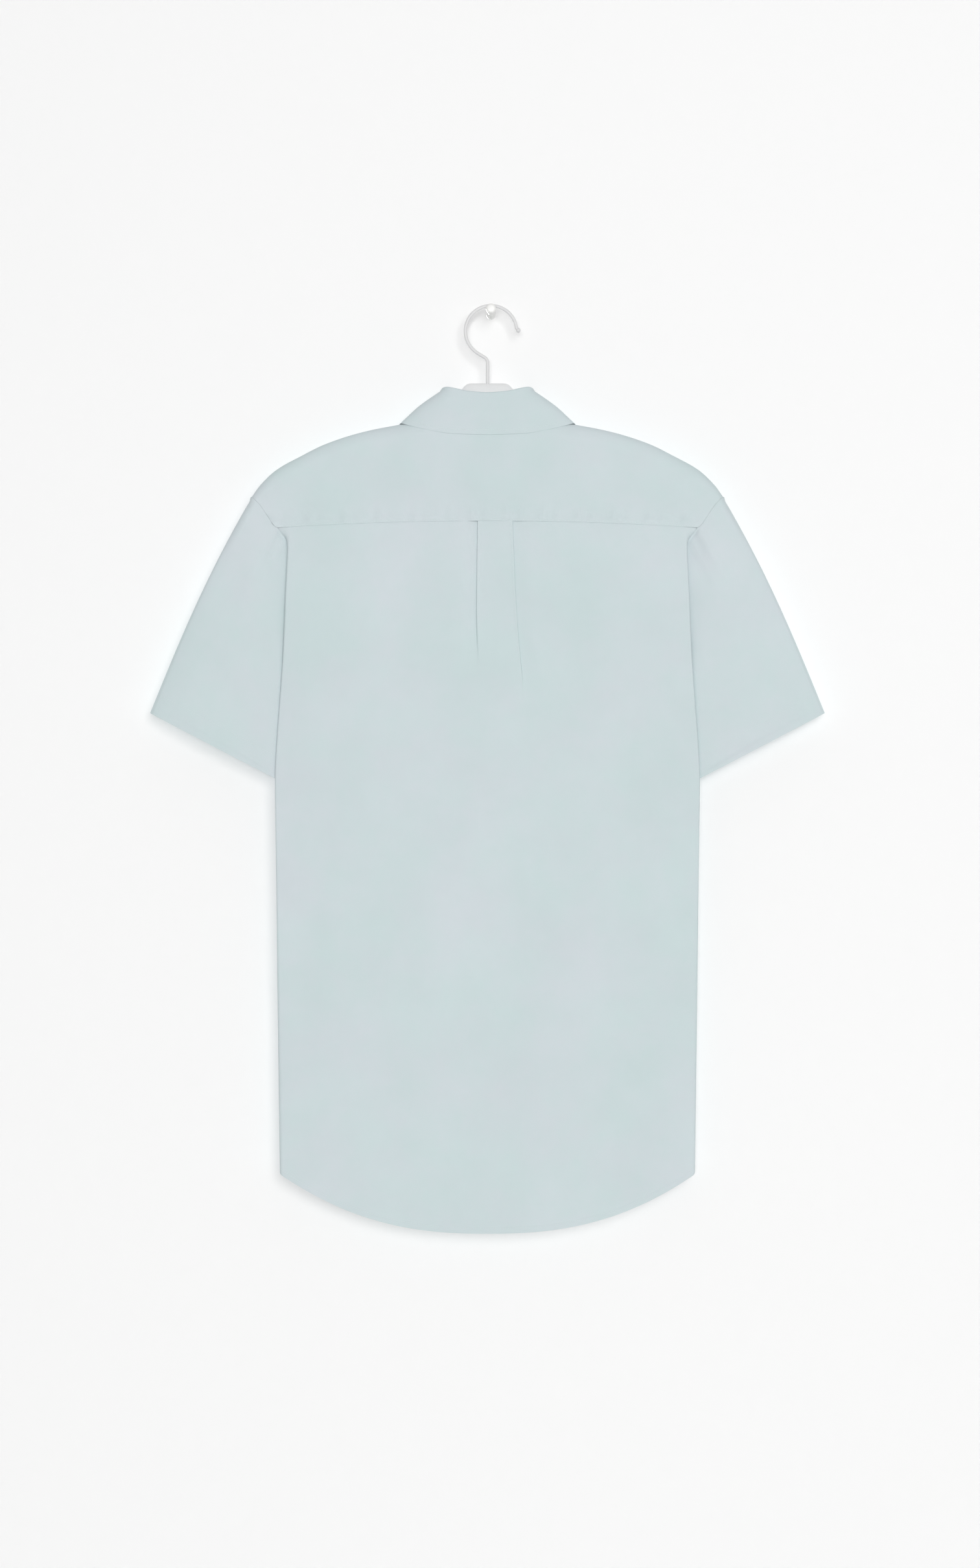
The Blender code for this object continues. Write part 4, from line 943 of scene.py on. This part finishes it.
def collar_grid(columns_of_points):
    return [[metres(*place) for place in row] for row in transposed(columns_of_points)]


# %% Build the stand
def stand_column(station, side):
    foot = neck_foot(station, side)
    head = along_roll(FOLD_LINE, station, side)
    up = (head - foot).normalized()
    column = []
    for share in shares(STAND_ROWS):
        place = foot.lerp(head, share) + up * STAND_GAP * (1 - share)
        if station > 0.5:
            place.y += front_depth(abs(place.x), side) - FRONT_DEPTH
        column.append(place)
    return column


def stand_end(last, side):
    """The stand's end, which laps past the middle of the front."""
    return [[place + Vector((-side * STAND_END * share, 0, STAND_END_RISE * share)) for place in last]
            for share in STAND_END_SHARES]


stand_columns = collar_columns(stand_column)
stand_columns = (stand_end(stand_columns[0], -1)[::-1] + stand_columns + stand_end(stand_columns[-1], 1))
stand_grid = collar_grid(stand_columns)
stand = cloth("collar_stand_cloth", [stand_grid])
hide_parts("collar_stand")


# %% Build the fall
def fall_column(station, side):
    place = min(station, COLLAR_END)
    base = along_roll(FOLD_LINE, place, side)
    edge = along_roll(OUTER_EDGE, station, side)
    ahead = along_roll(FOLD_LINE, min(place + ROLL_STEP, 1.0), side)
    ahead -= along_roll(FOLD_LINE, max(place - ROLL_STEP, 0.0), side)
    rise = (base - neck_foot(place, side)).normalized()
    out = ahead.cross(rise).normalized() * side
    bends = [follow_row(COLLAR_ROLL, None, share * (len(COLLAR_ROLL) - 1)) for share in shares(ROLL_ROWS)]
    column = [base + rise * bend.up + out * bend.out for bend in bends]
    hang = column[-1]
    for share in steps(0, 1, FALL_ROWS):
        belly = COLLAR_BELLY * math.sin(math.pi * share)
        flutter = FLUTTER * wander(place * FLUTTER_WAVES * side, FLUTTER_SEED)
        flutter *= ease(share) * ramp(station, *FLUTTER_ZONE)
        press = follow(PRESS, "station", "inward", station) * ramp(share, PRESS_START, 1.0)
        column.append(hang.lerp(edge, share) + out * (belly + flutter - press))
    return column


fall_grid = collar_grid(collar_columns(fall_column))
fall = cloth("collar_cloth", [fall_grid], thickness=COLLAR_WALL)
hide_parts("collar")

# %% [markdown]
# ## The sleeves
#
# A sleeve is a wide tube sewn round the armhole. It leaves the armhole in whatever direction the body's
# cloth has there, turns back on itself where it must, and then hangs to its hem. Its lower part lies in
# the groove of the side tuck, which is why the back panel laps over it. Each column is a short curve at
# the seam and then a straight run, and its half depth comes from how far the hem stands open.

# %% Sizes and tables of the sleeves
SLEEVE_OUTER, SLEEVE_INNER = (339.5, -405.0), (180.0, -488.0)   # the hem's two ends
SLEEVE_BOW, BOW_SHIFT, BOW_FADE = 4.7, 0.85, 1.5
SLEEVE_TOP_NORMAL = Vector((0.905, 0, 0.426))
SLEEVE_IN_GROOVE = 2.95         # most of its half depth in the groove
ROOM, ROOM_ZONE = 1.9, (-2.0, 44.0)     # more room outside the fold, over these distances from it
STEP, STEP_ZONE = 4.4, (-6.5, 4.5)
SEAM_TURN, UNDERARM_GAP = 2.8, 0.7
DOUBLED_FROM, DOUBLED_RANGE = 0.5, 1.2  # how far the sleeve turns back on the body's cloth
LANDING, LANDING_DOUBLED, REACH, REACH_DOUBLED = 6.0, 2.0, 2.0, 2.4
SEAM_ROWS = 8                   # rows of the curve at the seam, whose last one is the landing
SETTLED = 0.3                   # share of the run after which the tube has its own depth
FLAT_ACROSS, FLAT_DOWN, FLAT_ROUND = (2.0, 16.0), (0.0, 0.15), (0.03, 0.15)     # creases fade in
SLEEVE_SLIDE = 9.0
CUFF_FOLD, CUFF_FULL = 0.966, 0.96725   # the hem's fold, as shares of the run
SLEEVE_LEVELS = [0.0] + steps(0, 0.1, 4) + steps(0.1, 0.965, 34) + [0.967, 0.985, 0.998, 1.0]
CUFF_OPENING = table(
    "share half_depth", (0.0, 0.0), (0.02, 2.6), (0.08, 5.6), (0.2, 8.0), (0.34, 8.8), (0.5, 8.5),
    (0.62, 7.6), (0.74, 6.3), (0.8, 5.2), (0.86, 3.6), (0.97, 2.9), (1.0, 0.0))
MIDDLE_TURN = 1.5


# %% The armhole's edge
def side_edge(height, inset):
    """The armhole's edge: its place, the way the cloth leaves it and the side that faces out."""
    start, pieces = side_route(height, inset)
    x, y, heading = walk((start, BACK_DEPTH, 0.0), pieces, side_length(height, inset))
    out, up = armhole_lean(height) if height > UNDERARM else (0.0, 1.0)
    along = Vector((math.cos(heading) * out, math.sin(heading) * out, up))
    return Vector((x, y, height)), along, Vector((math.sin(heading), -math.cos(heading), 0.0))


def yoke_edge(turn, outer):
    across = yoke_side(turn)
    here = Vector(shoulder_point(across, turn))
    along = (Vector(shoulder_point(across + 1, turn)) - here).normalized()
    return here, along, Vector((0, outer, 0))


def front_edge_at(height):
    """The edge of the front, which mirrors the back's through the middle depth."""
    here, along, outer = side_edge(height, front_inset(height))
    flip = Vector((1, -1, 1))
    return Vector((here.x, 2 * MIDDLE_DEPTH - here.y, here.z)), along * flip, outer * flip


def edge_shares(edge):
    lengths = distances([here for here, _, _ in edge])
    return [length / lengths[-1] for length in lengths]


turns = [row.side_turn for row in FINE_YOKE_ROWS]
back_edge = [yoke_edge(turn, -1) for turn in reversed(turns) if turn <= MIDDLE_TURN]
back_edge += [side_edge(height, 0.0) for height in FINE_ARMHOLE[1:]]
front_edge = [yoke_edge(turn, 1) for turn in turns if turn > MIDDLE_TURN]
front_edge += [front_edge_at(height) for height in FINE_ARMHOLE[1:-1]]
front_shares = edge_shares([back_edge[0]] + front_edge + [back_edge[-1]])[1:-1]
armhole = [(*row, share, -1) for row, share in zip(back_edge, edge_shares(back_edge))]
armhole += reversed([(*row, share, 1) for row, share in zip(front_edge, front_shares)])
print("columns round a sleeve:", len(armhole))


# %% Build the sleeves
def sleeve_column(here, along, outer, share, layer, side):
    half = follow(CUFF_OPENING, "share", "half_depth", share)
    hem = Vector((mix(SLEEVE_OUTER[0], SLEEVE_INNER[0], share), MIDDLE_DEPTH + layer * half,
                  mix(SLEEVE_OUTER[1], SLEEVE_INNER[1], share)))
    away = Vector((hem.x - here.x, 0, hem.z - here.z)).normalized()
    doubled = clamp(DOUBLED_FROM - along.dot(away) / DOUBLED_RANGE)
    landing = here + outer * SEAM_TURN * doubled + away * mix(LANDING, LANDING_DOUBLED, doubled)
    start = here + along * (TRIM + UNDERARM_GAP * armhole_slope(here.z) ** 8)
    reach = mix(REACH, REACH_DOUBLED, doubled)
    lead, lag = start + along * reach, landing - away * reach
    column = [start * (1 - t) ** 3 + lead * 3 * t * (1 - t) ** 2 + lag * 3 * t * t * (1 - t)
              + landing * t ** 3 for t in shares(SEAM_ROWS)[:-1]]
    for t in SLEEVE_LEVELS:
        bow = SLEEVE_BOW * math.sin(math.pi * t ** BOW_SHIFT) * (1 - share) ** BOW_FADE
        place = landing.lerp(hem, t) + SLEEVE_TOP_NORMAL * bow
        beyond = place.x - follow(FOLD_EDGE, "height", "across", place.z)
        room = SLEEVE_IN_GROOVE + ROOM * ramp(beyond, *ROOM_ZONE) + STEP * ramp(beyond, *STEP_ZONE)
        depth = mix(abs(landing.y - MIDDLE_DEPTH), min(half, room), ramp(t, 0.0, SETTLED))
        flat = ramp(beyond, *FLAT_ACROSS) * ramp(t, *FLAT_DOWN) * ramp(share, *FLAT_ROUND)
        depth += flat * relief(SLEEVE_CREASES, place.x, place.z, SLEEVE_SLIDE * side * layer)
        depth += HEM_SWELL * flat * ramp(t, CUFF_FOLD, CUFF_FULL)
        column.append(Vector((place.x, MIDDLE_DEPTH + layer * depth, place.z)))
    return [metres(point.x * side, point.y, point.z) for point in column]


sleeve_grids = {}
for name, side in (("sleeve_left", -1), ("sleeve_right", 1)):
    sleeve_columns = [sleeve_column(*row, side) for row in armhole]
    sleeve_grids[side] = transposed(sleeve_columns + sleeve_columns[:1])
    sleeve = cloth(name + "_cloth", [sleeve_grids[side]])
    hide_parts(name)

# %% [markdown]
# ## Stitches
#
# Rows of lockstitch hold the turned edges. Each stitch is a short, low bead of thread, half sunk in the
# cloth, and a row of them is one joined mesh. A row follows the piece's own grid at a set distance from
# one of its edges, so it stays on the cloth over every fold. A stitch is 2.5 mm long, ten to the inch.

# %% Lines and rows of stitches
STITCH_PITCH, STITCH = 2.5, (1.9, 0.42, 0.3)    # a bead's length, width and height
YOKE_INSET, CUFF_INSET, HEM_INSET, BAND_INSET, STAND_INSET = 1.6, 21.0, 5.5, 5.0, 1.8


def line_inside(grid, edge, inset):
    """Points and normals on the cloth, at a distance in mm from one edge of its grid."""
    if edge in ("left", "right"):
        grid = transposed(grid)
    if edge in ("bottom", "right"):
        grid = grid[::-1]
    line = []
    for n in range(len(grid[0])):
        left = inset * 0.001
        for row in range(len(grid) - 1):
            step = grid[row + 1][n] - grid[row][n]
            if left <= step.length:
                place = grid[row][n] + step.normalized() * left
                beside = grid[row][min(n + 1, len(grid[0]) - 1)] - grid[row][max(n - 1, 0)]
                line.append((place, step.cross(beside).normalized()))
                break
            left -= step.length
    return line


def add_beads(name, size, places):
    """One joined mesh of small beads of thread, of a size in mm, at each place that a matrix gives."""
    bead = bmesh.new()
    half_size = Matrix.Diagonal((*(length * 0.0005 for length in size), 1))
    bmesh.ops.create_uvsphere(bead, u_segments=6, v_segments=4, radius=1.0, matrix=half_size)
    bead.verts.index_update()
    corners = [vertex.co.copy() for vertex in bead.verts]
    faces = [[vertex.index for vertex in face.verts] for face in bead.faces]
    bead.free()
    mesh = bpy.data.meshes.new(name)
    mesh.from_pydata([place @ corner for place in places for corner in corners], [],
                     [[index + n * len(corners) for index in face] for n in range(len(places))
                      for face in faces])
    shape = bmesh.new()
    shape.from_mesh(mesh)
    bpy.data.meshes.remove(mesh)
    return add_piece(name, shape, thread)


def stitch_row(name, grid, edge, inset, wall=CLOTH, skip=0.0):
    """Stitches on both faces of a piece, at a distance in mm inside one edge, but for its two ends."""
    line = line_inside(grid, edge, inset)
    left = (STITCH_PITCH / 2 + skip) * 0.001
    total = distances([place for place, _ in line])[-1] - skip * 0.001
    travelled = 0.0
    places = []
    for (start, normal), (end, _) in zip(line, line[1:]):
        step = end - start
        forward = step.normalized()
        across = normal.cross(forward).normalized()
        up = forward.cross(across)
        turned = Matrix((forward, across, up)).transposed().to_4x4()
        while left <= step.length and travelled + left < total:
            for lift in (wall / 2, -wall / 2):
                places.append(Matrix.Translation(start + forward * left + up * lift * 0.001) @ turned)
            left += STITCH_PITCH * 0.001
        left -= step.length
        travelled += step.length
    print(name, len(places), "stitches")
    return add_beads(name, STITCH, places)


# %% Sew every edge
for side, word in ((1, "right"), (-1, "left")):
    stitch_row("yoke_topstitch_" + word, yoke_halves[side], "top", YOKE_INSET)
    stitch_row("front_yoke_topstitch_" + word, yoke_halves[side], "bottom", YOKE_INSET)
    stitch_row("sleeve_hem_stitch_" + word, sleeve_grids[side], "bottom", CUFF_INSET)
    stitch_row("front_hem_stitch_" + word, front_grids[side], "bottom", HEM_INSET)
stitch_row("back_hem_stitch", back_grid, "bottom", HEM_INSET)
for edge in ("left", "right"):
    stitch_row("placket_stitch_" + edge, placket_grid, edge, BAND_INSET, PLACKET_WALL)
stitch_row("collar_edge_stitch", fall_grid, "bottom", BAND_INSET, COLLAR_WALL, skip=BAND_INSET)
for edge in ("left", "right"):
    stitch_row("collar_end_stitch_" + edge, fall_grid, edge, BAND_INSET, COLLAR_WALL, skip=BAND_INSET)
stitch_row("stand_foot_stitch", stand_grid, "top", STAND_INSET)

# %% [markdown]
# ## Buttons and buttonholes
#
# A shirt button is a resin disc turned on a lathe: a raised rim, a dished middle and four drilled holes.
# It is spun from its profile, the holes are cut by a boolean, and two bars of thread cross them. Each
# buttonhole is an upright slit with a tight stitched border, behind the button.

# %% Turned and bored pieces
DRILL_LENGTH = 20.0


def spun(profile, place, count):
    """A closed solid turned about the y axis through a profile of (along, radius) in mm."""
    shape = bmesh.new()
    centre = metres(*place)
    rim = [shape.verts.new(centre + Vector((radius, along, 0)) * 0.001) for along, radius in profile]
    edges = [shape.edges.new(pair) for pair in zip(rim, rim[1:])]
    bmesh.ops.spin(shape, geom=rim + edges, cent=centre, axis=(0, 1, 0), angle=2 * math.pi, steps=count,
                   use_merge=True)
    bmesh.ops.remove_doubles(shape, verts=shape.verts, dist=1e-6)
    bmesh.ops.recalc_face_normals(shape, faces=shape.faces)
    return shape


def bored(name, shape, surface, holes, radius, along, angle=40):
    """A piece with round holes, of a radius in mm, cut along y or z at some places."""
    piece = add_piece(name, shape, surface, angle)
    cutter_shape = bmesh.new()
    turned = Matrix.Rotation(math.pi / 2, 4, "X") if along == "y" else Matrix.Identity(4)
    for place in holes:
        bmesh.ops.create_cone(cutter_shape, cap_ends=True, segments=20, radius1=radius * 0.001,
                              radius2=radius * 0.001, depth=DRILL_LENGTH * 0.001,
                              matrix=Matrix.Translation(place) @ turned)
    cutter = add_object("cutter", mesh_from("cutter", cutter_shape))
    cut = piece.modifiers.new("holes", "BOOLEAN")
    cut.operation = "DIFFERENCE"
    cut.solver = "EXACT"
    cut.object = cutter
    mesh = applied_mesh(piece)
    piece.modifiers.clear()
    piece.data = mesh
    bpy.data.objects.remove(cutter, do_unlink=True)
    return piece


# %% Build the buttons
BUTTON_HEIGHTS = [-176, -250, -338, -426, -514, -602, -690]
BUTTON_FACE = FRONT_DEPTH + 1.0     # where a button's flat back lies
BUTTON_PROFILE = [(0.0, 0.0), (0.0, 4.5), (0.25, 5.1), (0.8, 5.6), (1.5, 5.5), (2.0, 5.05), (2.1, 4.7),
                  (2.0, 4.3), (1.6, 3.8), (1.45, 3.2), (1.45, 0.0)]
HOLE_REACH, HOLE_RADIUS = 1.25, 0.55
BAR_LEVEL, BAR_SIZE = 1.55, (1.9, 0.45, 0.45)   # the thread's bars lie in the dish, half sizes in mm

for number, height in enumerate(BUTTON_HEIGHTS, start=1):
    centre = metres(0.0, BUTTON_FACE, height)
    holes = [centre + Vector((x, 0, z)) * 0.001 for x in (-HOLE_REACH, HOLE_REACH)
             for z in (-HOLE_REACH, HOLE_REACH)]
    button = bored(f"button_{number}_disc", spun(BUTTON_PROFILE, (0.0, BUTTON_FACE, height), 36), resin,
                   holes, HOLE_RADIUS, "y")
    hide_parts(f"button_{number}")
    bars = bmesh.new()
    for z in (-HOLE_REACH, HOLE_REACH):
        spot = Matrix.Translation(centre + Vector((0, BAR_LEVEL, z)) * 0.001)
        size = Matrix.Diagonal((*(half * 0.001 for half in BAR_SIZE), 1))
        bmesh.ops.create_uvsphere(bars, u_segments=10, v_segments=6, radius=1.0, matrix=spot @ size)
    add_piece(f"button_{number}_thread", bars, thread)
print("buttons:", len(BUTTON_HEIGHTS))


# %% Build the buttonholes
def rounded(angle, squareness):
    """Radius of a rounded square of half width 1, in a direction from its middle."""
    return (abs(math.cos(angle)) ** squareness + abs(math.sin(angle)) ** squareness) ** (-1 / squareness)


BORDER_BEADS, BORDER_BEAD = 44, (1.6, 0.44, 0.68)
BORDER_HALF_WIDTH, BORDER_HALF_HEIGHT, BORDER_SQUARENESS = 1.3, 8.2, 4

for number, height in enumerate(BUTTON_HEIGHTS[1:], start=2):
    places = []
    for n in range(BORDER_BEADS):
        angle = 2 * math.pi * n / BORDER_BEADS
        bulge = rounded(angle, BORDER_SQUARENESS)
        places.append(Matrix.Translation(metres(
            BORDER_HALF_WIDTH * bulge * math.cos(angle), FRONT_DEPTH + PLACKET_WALL / 2,
            height + BORDER_HALF_HEIGHT * bulge * math.sin(angle))))
    add_beads(f"buttonhole_{number}", BORDER_BEAD, places)
print("buttonholes:", len(BUTTON_HEIGHTS) - 1)

# %% [markdown]
# ## The hanger
#
# Only the hanger's crown shows above the collar: a low, wide hump with soft edges. The rest runs inside
# the shirt, just under the shoulders, so it is built too. Its sections are rounded bars, laid as a grid
# that closes on itself, with the ends filled. The wire's hole is bored into the crown.

# %% The hanger's form
ARM_CLEARANCE, HANGER_HALF_DEPTH, BAR_SQUARENESS, RING_POINTS = 1.1, 4.9, 2.3, 32
TIP_DEPTH, LEAST_HALF_DEPTH = 1.1, 0.8
WIRE_RADIUS, WIRE_DEPTH, STEM_ACROSS, CROWN_HEIGHT, STEM_SEAT = 1.7, -20.0, -3.5, -72.7, 14.0
STEM_CLEARANCE = 0.25
CROWN = [(0, -72.7, -103.0), (13, -72.7, -103.6), (17, -72.8, -104.0), (21, -73.9, -104.6),
         (27, -80.5, -106.0), (45, -101.0, -114.0), (56, -111.3, -122.0), (68, -114.2, -126.0)]
ARM_SIZES = [(89, 0.0, 13.0), (115, 0.0, 13.0), (138, 0.0, 13.0), (165, 0.0, 13.0), (187, 0.5, 12.0),
             (199, 1.75, 9.5), (206, 3.5, 6.0), (208.5, 5.5, 2.0)]  # across, sink and thickness

# %% Build the hanger
arms = []
for across, sink, thickness in ARM_SIZES:
    top = follow(SHOULDER_LINE, "across", "height", across) - ARM_CLEARANCE - sink
    arms.append((across, top, top - thickness))
arm_rows = table("across top bottom", *CROWN, *arms)
reaches = [0.0] + steps(0, 68, 26) + steps(68, 199, 30) + [201, 203, 205, 206, 207, 208, 208.5]
bar_grid = []
for across in [-reach for reach in reversed(reaches[1:])] + reaches:
    arm = follow_row(arm_rows, "across", abs(across))
    middle, half = (arm.top + arm.bottom) / 2, (arm.top - arm.bottom) / 2
    depth = min(HANGER_HALF_DEPTH, half * TIP_DEPTH + LEAST_HALF_DEPTH)
    ring = []
    for n in range(RING_POINTS + 1):
        angle = 2 * math.pi * (n % RING_POINTS) / RING_POINTS
        bulge = rounded(angle, BAR_SQUARENESS)
        ring.append(metres(across, MIDDLE_DEPTH + depth * bulge * math.cos(angle),
                           middle + half * bulge * math.sin(angle)))
    bar_grid.append(ring)
bar = bmesh.new()
lay_grid(bar, bar_grid)
bmesh.ops.remove_doubles(bar, verts=bar.verts, dist=1e-7)
bmesh.ops.holes_fill(bar, edges=[edge for edge in bar.edges if edge.is_boundary])
bmesh.ops.recalc_face_normals(bar, faces=bar.faces)
stem_hole = Vector((STEM_ACROSS, WIRE_DEPTH, CROWN_HEIGHT - STEM_SEAT + DRILL_LENGTH / 2)) * 0.001
hanger = bored("hanger_moulding", bar, moulded, [stem_hole],
               WIRE_RADIUS + STEM_CLEARANCE, "z", angle=35)
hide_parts("hanger")
print("hanger faces:", len(hanger.data.polygons))

# %% [markdown]
# ## The wire hook
#
# One length of wire is bent over the peg and down into the crown. A curve with a round bevel is the
# natural way to make it: its points are the bends, and each point's radius makes the bead at the tip.

# %% The hook's route
HOOK_RADIUS, PEG_NECK_RADIUS, HOOK_CLEARANCE = 25.8, 3.5, 0.3
HOOK_CENTRE_HEIGHT = PEG_NECK_RADIUS + HOOK_CLEARANCE + WIRE_RADIUS - HOOK_RADIUS
STEM_BEND_HEIGHT, STEM_SHARES, STEM_FOOT_GAP = -48.6, (0.45, 0.8), 1.0
TIP_BEAD = [(3.7, 0.35), (3.6, 0.95), (3.3, 1.5), (2.8, 1.95), (2.2, 2.25), (1.6, 2.4), (1.0, 2.4),
            (0.4, 2.2), (0.1, 1.9)]     # distance beyond the wire's end, and radius

angles = [math.radians(degrees) for degrees in range(8, 241, 12)]
bends = [(HOOK_RADIUS * math.cos(angle), HOOK_CENTRE_HEIGHT + HOOK_RADIUS * math.sin(angle))
         for angle in angles]
bends.insert(0, (bends[0][0] + 1.0, bends[0][1] - 1.4))
last = bends[-1]
bends += [(mix(last[0], STEM_ACROSS, share), mix(last[1], STEM_BEND_HEIGHT, share))
          for share in STEM_SHARES]
bends += [(STEM_ACROSS - 0.2, STEM_BEND_HEIGHT - 1.6), (STEM_ACROSS, STEM_BEND_HEIGHT - 4.5),
          (STEM_ACROSS, -62.0), (STEM_ACROSS, CROWN_HEIGHT - STEM_SEAT + STEM_FOOT_GAP)]


def smooth_line(points, count):
    """Points on a Catmull-Rom curve through some points, `count` to each stretch."""
    points = [Vector(point) for point in points]
    ends = [points[0] * 2 - points[1]] + points + [points[-1] * 2 - points[-2]]
    line = [points[0]]
    for a, b, c, d in zip(ends, ends[1:], ends[2:], ends[3:]):
        for t in steps(0, 1, count):
            line.append((b * 2 + (c - a) * t + (a * 2 - b * 5 + c * 4 - d) * t * t
                         + (b * 3 - a - c * 3 + d) * t ** 3) / 2)
    return line


lean = (Vector(bends[0]) - Vector(bends[1])).normalized()
wire_line = [(bends[0][0] + lean.x * along, bends[0][1] + lean.y * along, radius)
             for along, radius in TIP_BEAD]
wire_line += [(point.x, point.y, WIRE_RADIUS) for point in smooth_line(bends, 4)]
print("points along the wire:", len(wire_line))

# %% Build the hook
curve = bpy.data.curves.new("wire", "CURVE")
curve.dimensions = "3D"
curve.bevel_depth = 0.001       # 1 mm, which each point's radius then multiplies
curve.bevel_resolution = 6
curve.use_fill_caps = True
spline = curve.splines.new("POLY")
spline.points.add(len(wire_line) - 1)
for point, (x, z, radius) in zip(spline.points, wire_line):
    point.co = (x * 0.001, WIRE_DEPTH * 0.001, z * 0.001, 1.0)
    point.radius = radius
wire_object = add_object("wire", curve)
wire = bmesh.new()
wire.from_mesh(applied_mesh(wire_object))
bpy.data.objects.remove(wire_object, do_unlink=True)
bmesh.ops.remove_doubles(wire, verts=wire.verts, dist=1e-6)
bmesh.ops.recalc_face_normals(wire, faces=wire.faces)
hook = add_piece("hook_wire", wire, dipped, angle=60)
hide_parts("hook")
print("hook faces:", len(hook.data.polygons))

# %% Build the peg
# The peg is turned: a flat foot on the wall, a neck that carries the wire and a round knob.
PEG_PROFILE = [(0.0, 0.0), (0.0, 4.7), (-7.0, 4.7), (-7.6, 4.5), (-8.3, 4.0), (-9.0, 3.6),
               (-10.0, PEG_NECK_RADIUS), (-26.6, PEG_NECK_RADIUS), (-27.4, 3.8), (-28.2, 4.4),
               (-29.0, 4.85), (-29.8, 5.0), (-34.2, 5.0), (-34.9, 4.85), (-35.5, 4.4), (-35.85, 3.8),
               (-36.0, 3.0), (-36.0, 0.0)]
peg_shape = spun(PEG_PROFILE, (-CENTRE, 0.0, 0.0), 48)
peg = add_piece("wall_peg_turned", peg_shape, lacquer, angle=50)
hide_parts("wall_peg")
print("peg faces:", len(peg.data.polygons))

# %% [markdown]
# ## Wall, floor, light and camera
#
# The photograph is a shop picture: a pale wall, very even light and a faint soft shadow to the lower
# left. A large lamp a little above and to the right gives that shadow. A second large one in front and a
# bright, even sky fill the rest, and a third lights the buttoned side for views from behind. The wall
# shows only from its front, so that those views can see past it.

# %% Wall and floor
FLOOR_HEIGHT, WALL_TOP, STAGE_REACH, WALL_DEPTH = -1.42, 2.5, 4.0, 0.0004   # in metres

plaster, tree, shader, _ = new_material("painted_plaster", "#F5F5F5", 0.9, 1.45)
facing = add_node(tree, "NewGeometry").outputs["Backfacing"]
clear = add_node(tree, "BsdfTransparent").outputs["BSDF"]
either = add_node(tree, "MixShader", {0: facing, 1: shader.outputs["BSDF"], 2: clear})
tree.links.new(either.outputs["Shader"], tree.nodes["Material Output"].inputs["Surface"])
floor_paint = new_material("painted_floor", "#D6D6D5", 0.7, 1.45)[0]


def add_stage(name, corners, surface):
    sheet = bmesh.new()
    sheet.faces.new([sheet.verts.new(corner) for corner in corners])
    made = add_object(name, mesh_from(name, sheet))
    made.data.materials.append(surface)
    return made


left, right = -STAGE_REACH, STAGE_REACH
wall = add_stage("wall", [(left, WALL_DEPTH, FLOOR_HEIGHT), (right, WALL_DEPTH, FLOOR_HEIGHT),
                          (right, WALL_DEPTH, WALL_TOP), (left, WALL_DEPTH, WALL_TOP)], plaster)
wall.visible_shadow = False
add_stage("floor", [(left, left, FLOOR_HEIGHT), (right, left, FLOOR_HEIGHT), (right, right, FLOOR_HEIGHT),
                    (left, right, FLOOR_HEIGHT)], floor_paint)
print("wall faces", tuple(round(v, 2) for v in wall.data.polygons[0].normal))

# %% Lights and world
SHIRT_MIDDLE = (0.0, 0.0, -0.48)
LAMPS = (                       # place and size in metres, power in watts
    ("key", (1.15, -5.6, 0.75), 3.2, 125.0), ("front", (-0.6, -9.0, -0.3), 2.6, 190.0),
    ("rear", (-1.6, 8.5, 0.8), 2.4, 430.0),
)
for name, place, size, power in LAMPS:
    lamp = bpy.data.lights.new(name, "AREA")
    lamp.shape = "DISK"
    lamp.size = size
    lamp.energy = power
    made = add_object(name, lamp)
    made.location = place
    made.rotation_euler = (Vector(SHIRT_MIDDLE) - Vector(place)).to_track_quat("-Z", "Y").to_euler()
sky = bpy.data.worlds.new("studio")
sky.use_nodes = True
sky.node_tree.nodes["Background"].inputs["Color"].default_value = (1.0, 1.0, 1.0, 1.0)
sky.node_tree.nodes["Background"].inputs["Strength"].default_value = 0.4
bpy.context.scene.world = sky
bpy.context.scene.view_settings.view_transform = "Standard"
print("lights:", len(LAMPS))

# %% Camera
# The photograph is 1512 by 2420 pixels, taken level from 2.5 m with a lens of 3800 pixels.
SENSOR_MM, LENS_PIXELS, PICTURE_PIXELS = 24.0, 3800, 2420

camera_data = bpy.data.cameras.new("camera")
camera_data.sensor_fit = "VERTICAL"
camera_data.sensor_height = SENSOR_MM
camera_data.lens = SENSOR_MM * LENS_PIXELS / PICTURE_PIXELS
camera_data.clip_start = 0.01
camera = add_object("camera", camera_data)
camera.location = (-0.001, -2.5, -0.4763)
camera.rotation_euler = (math.pi / 2, 0.0, 0.0)
bpy.context.scene.camera = camera
print("lens", round(camera_data.lens, 2), "mm")
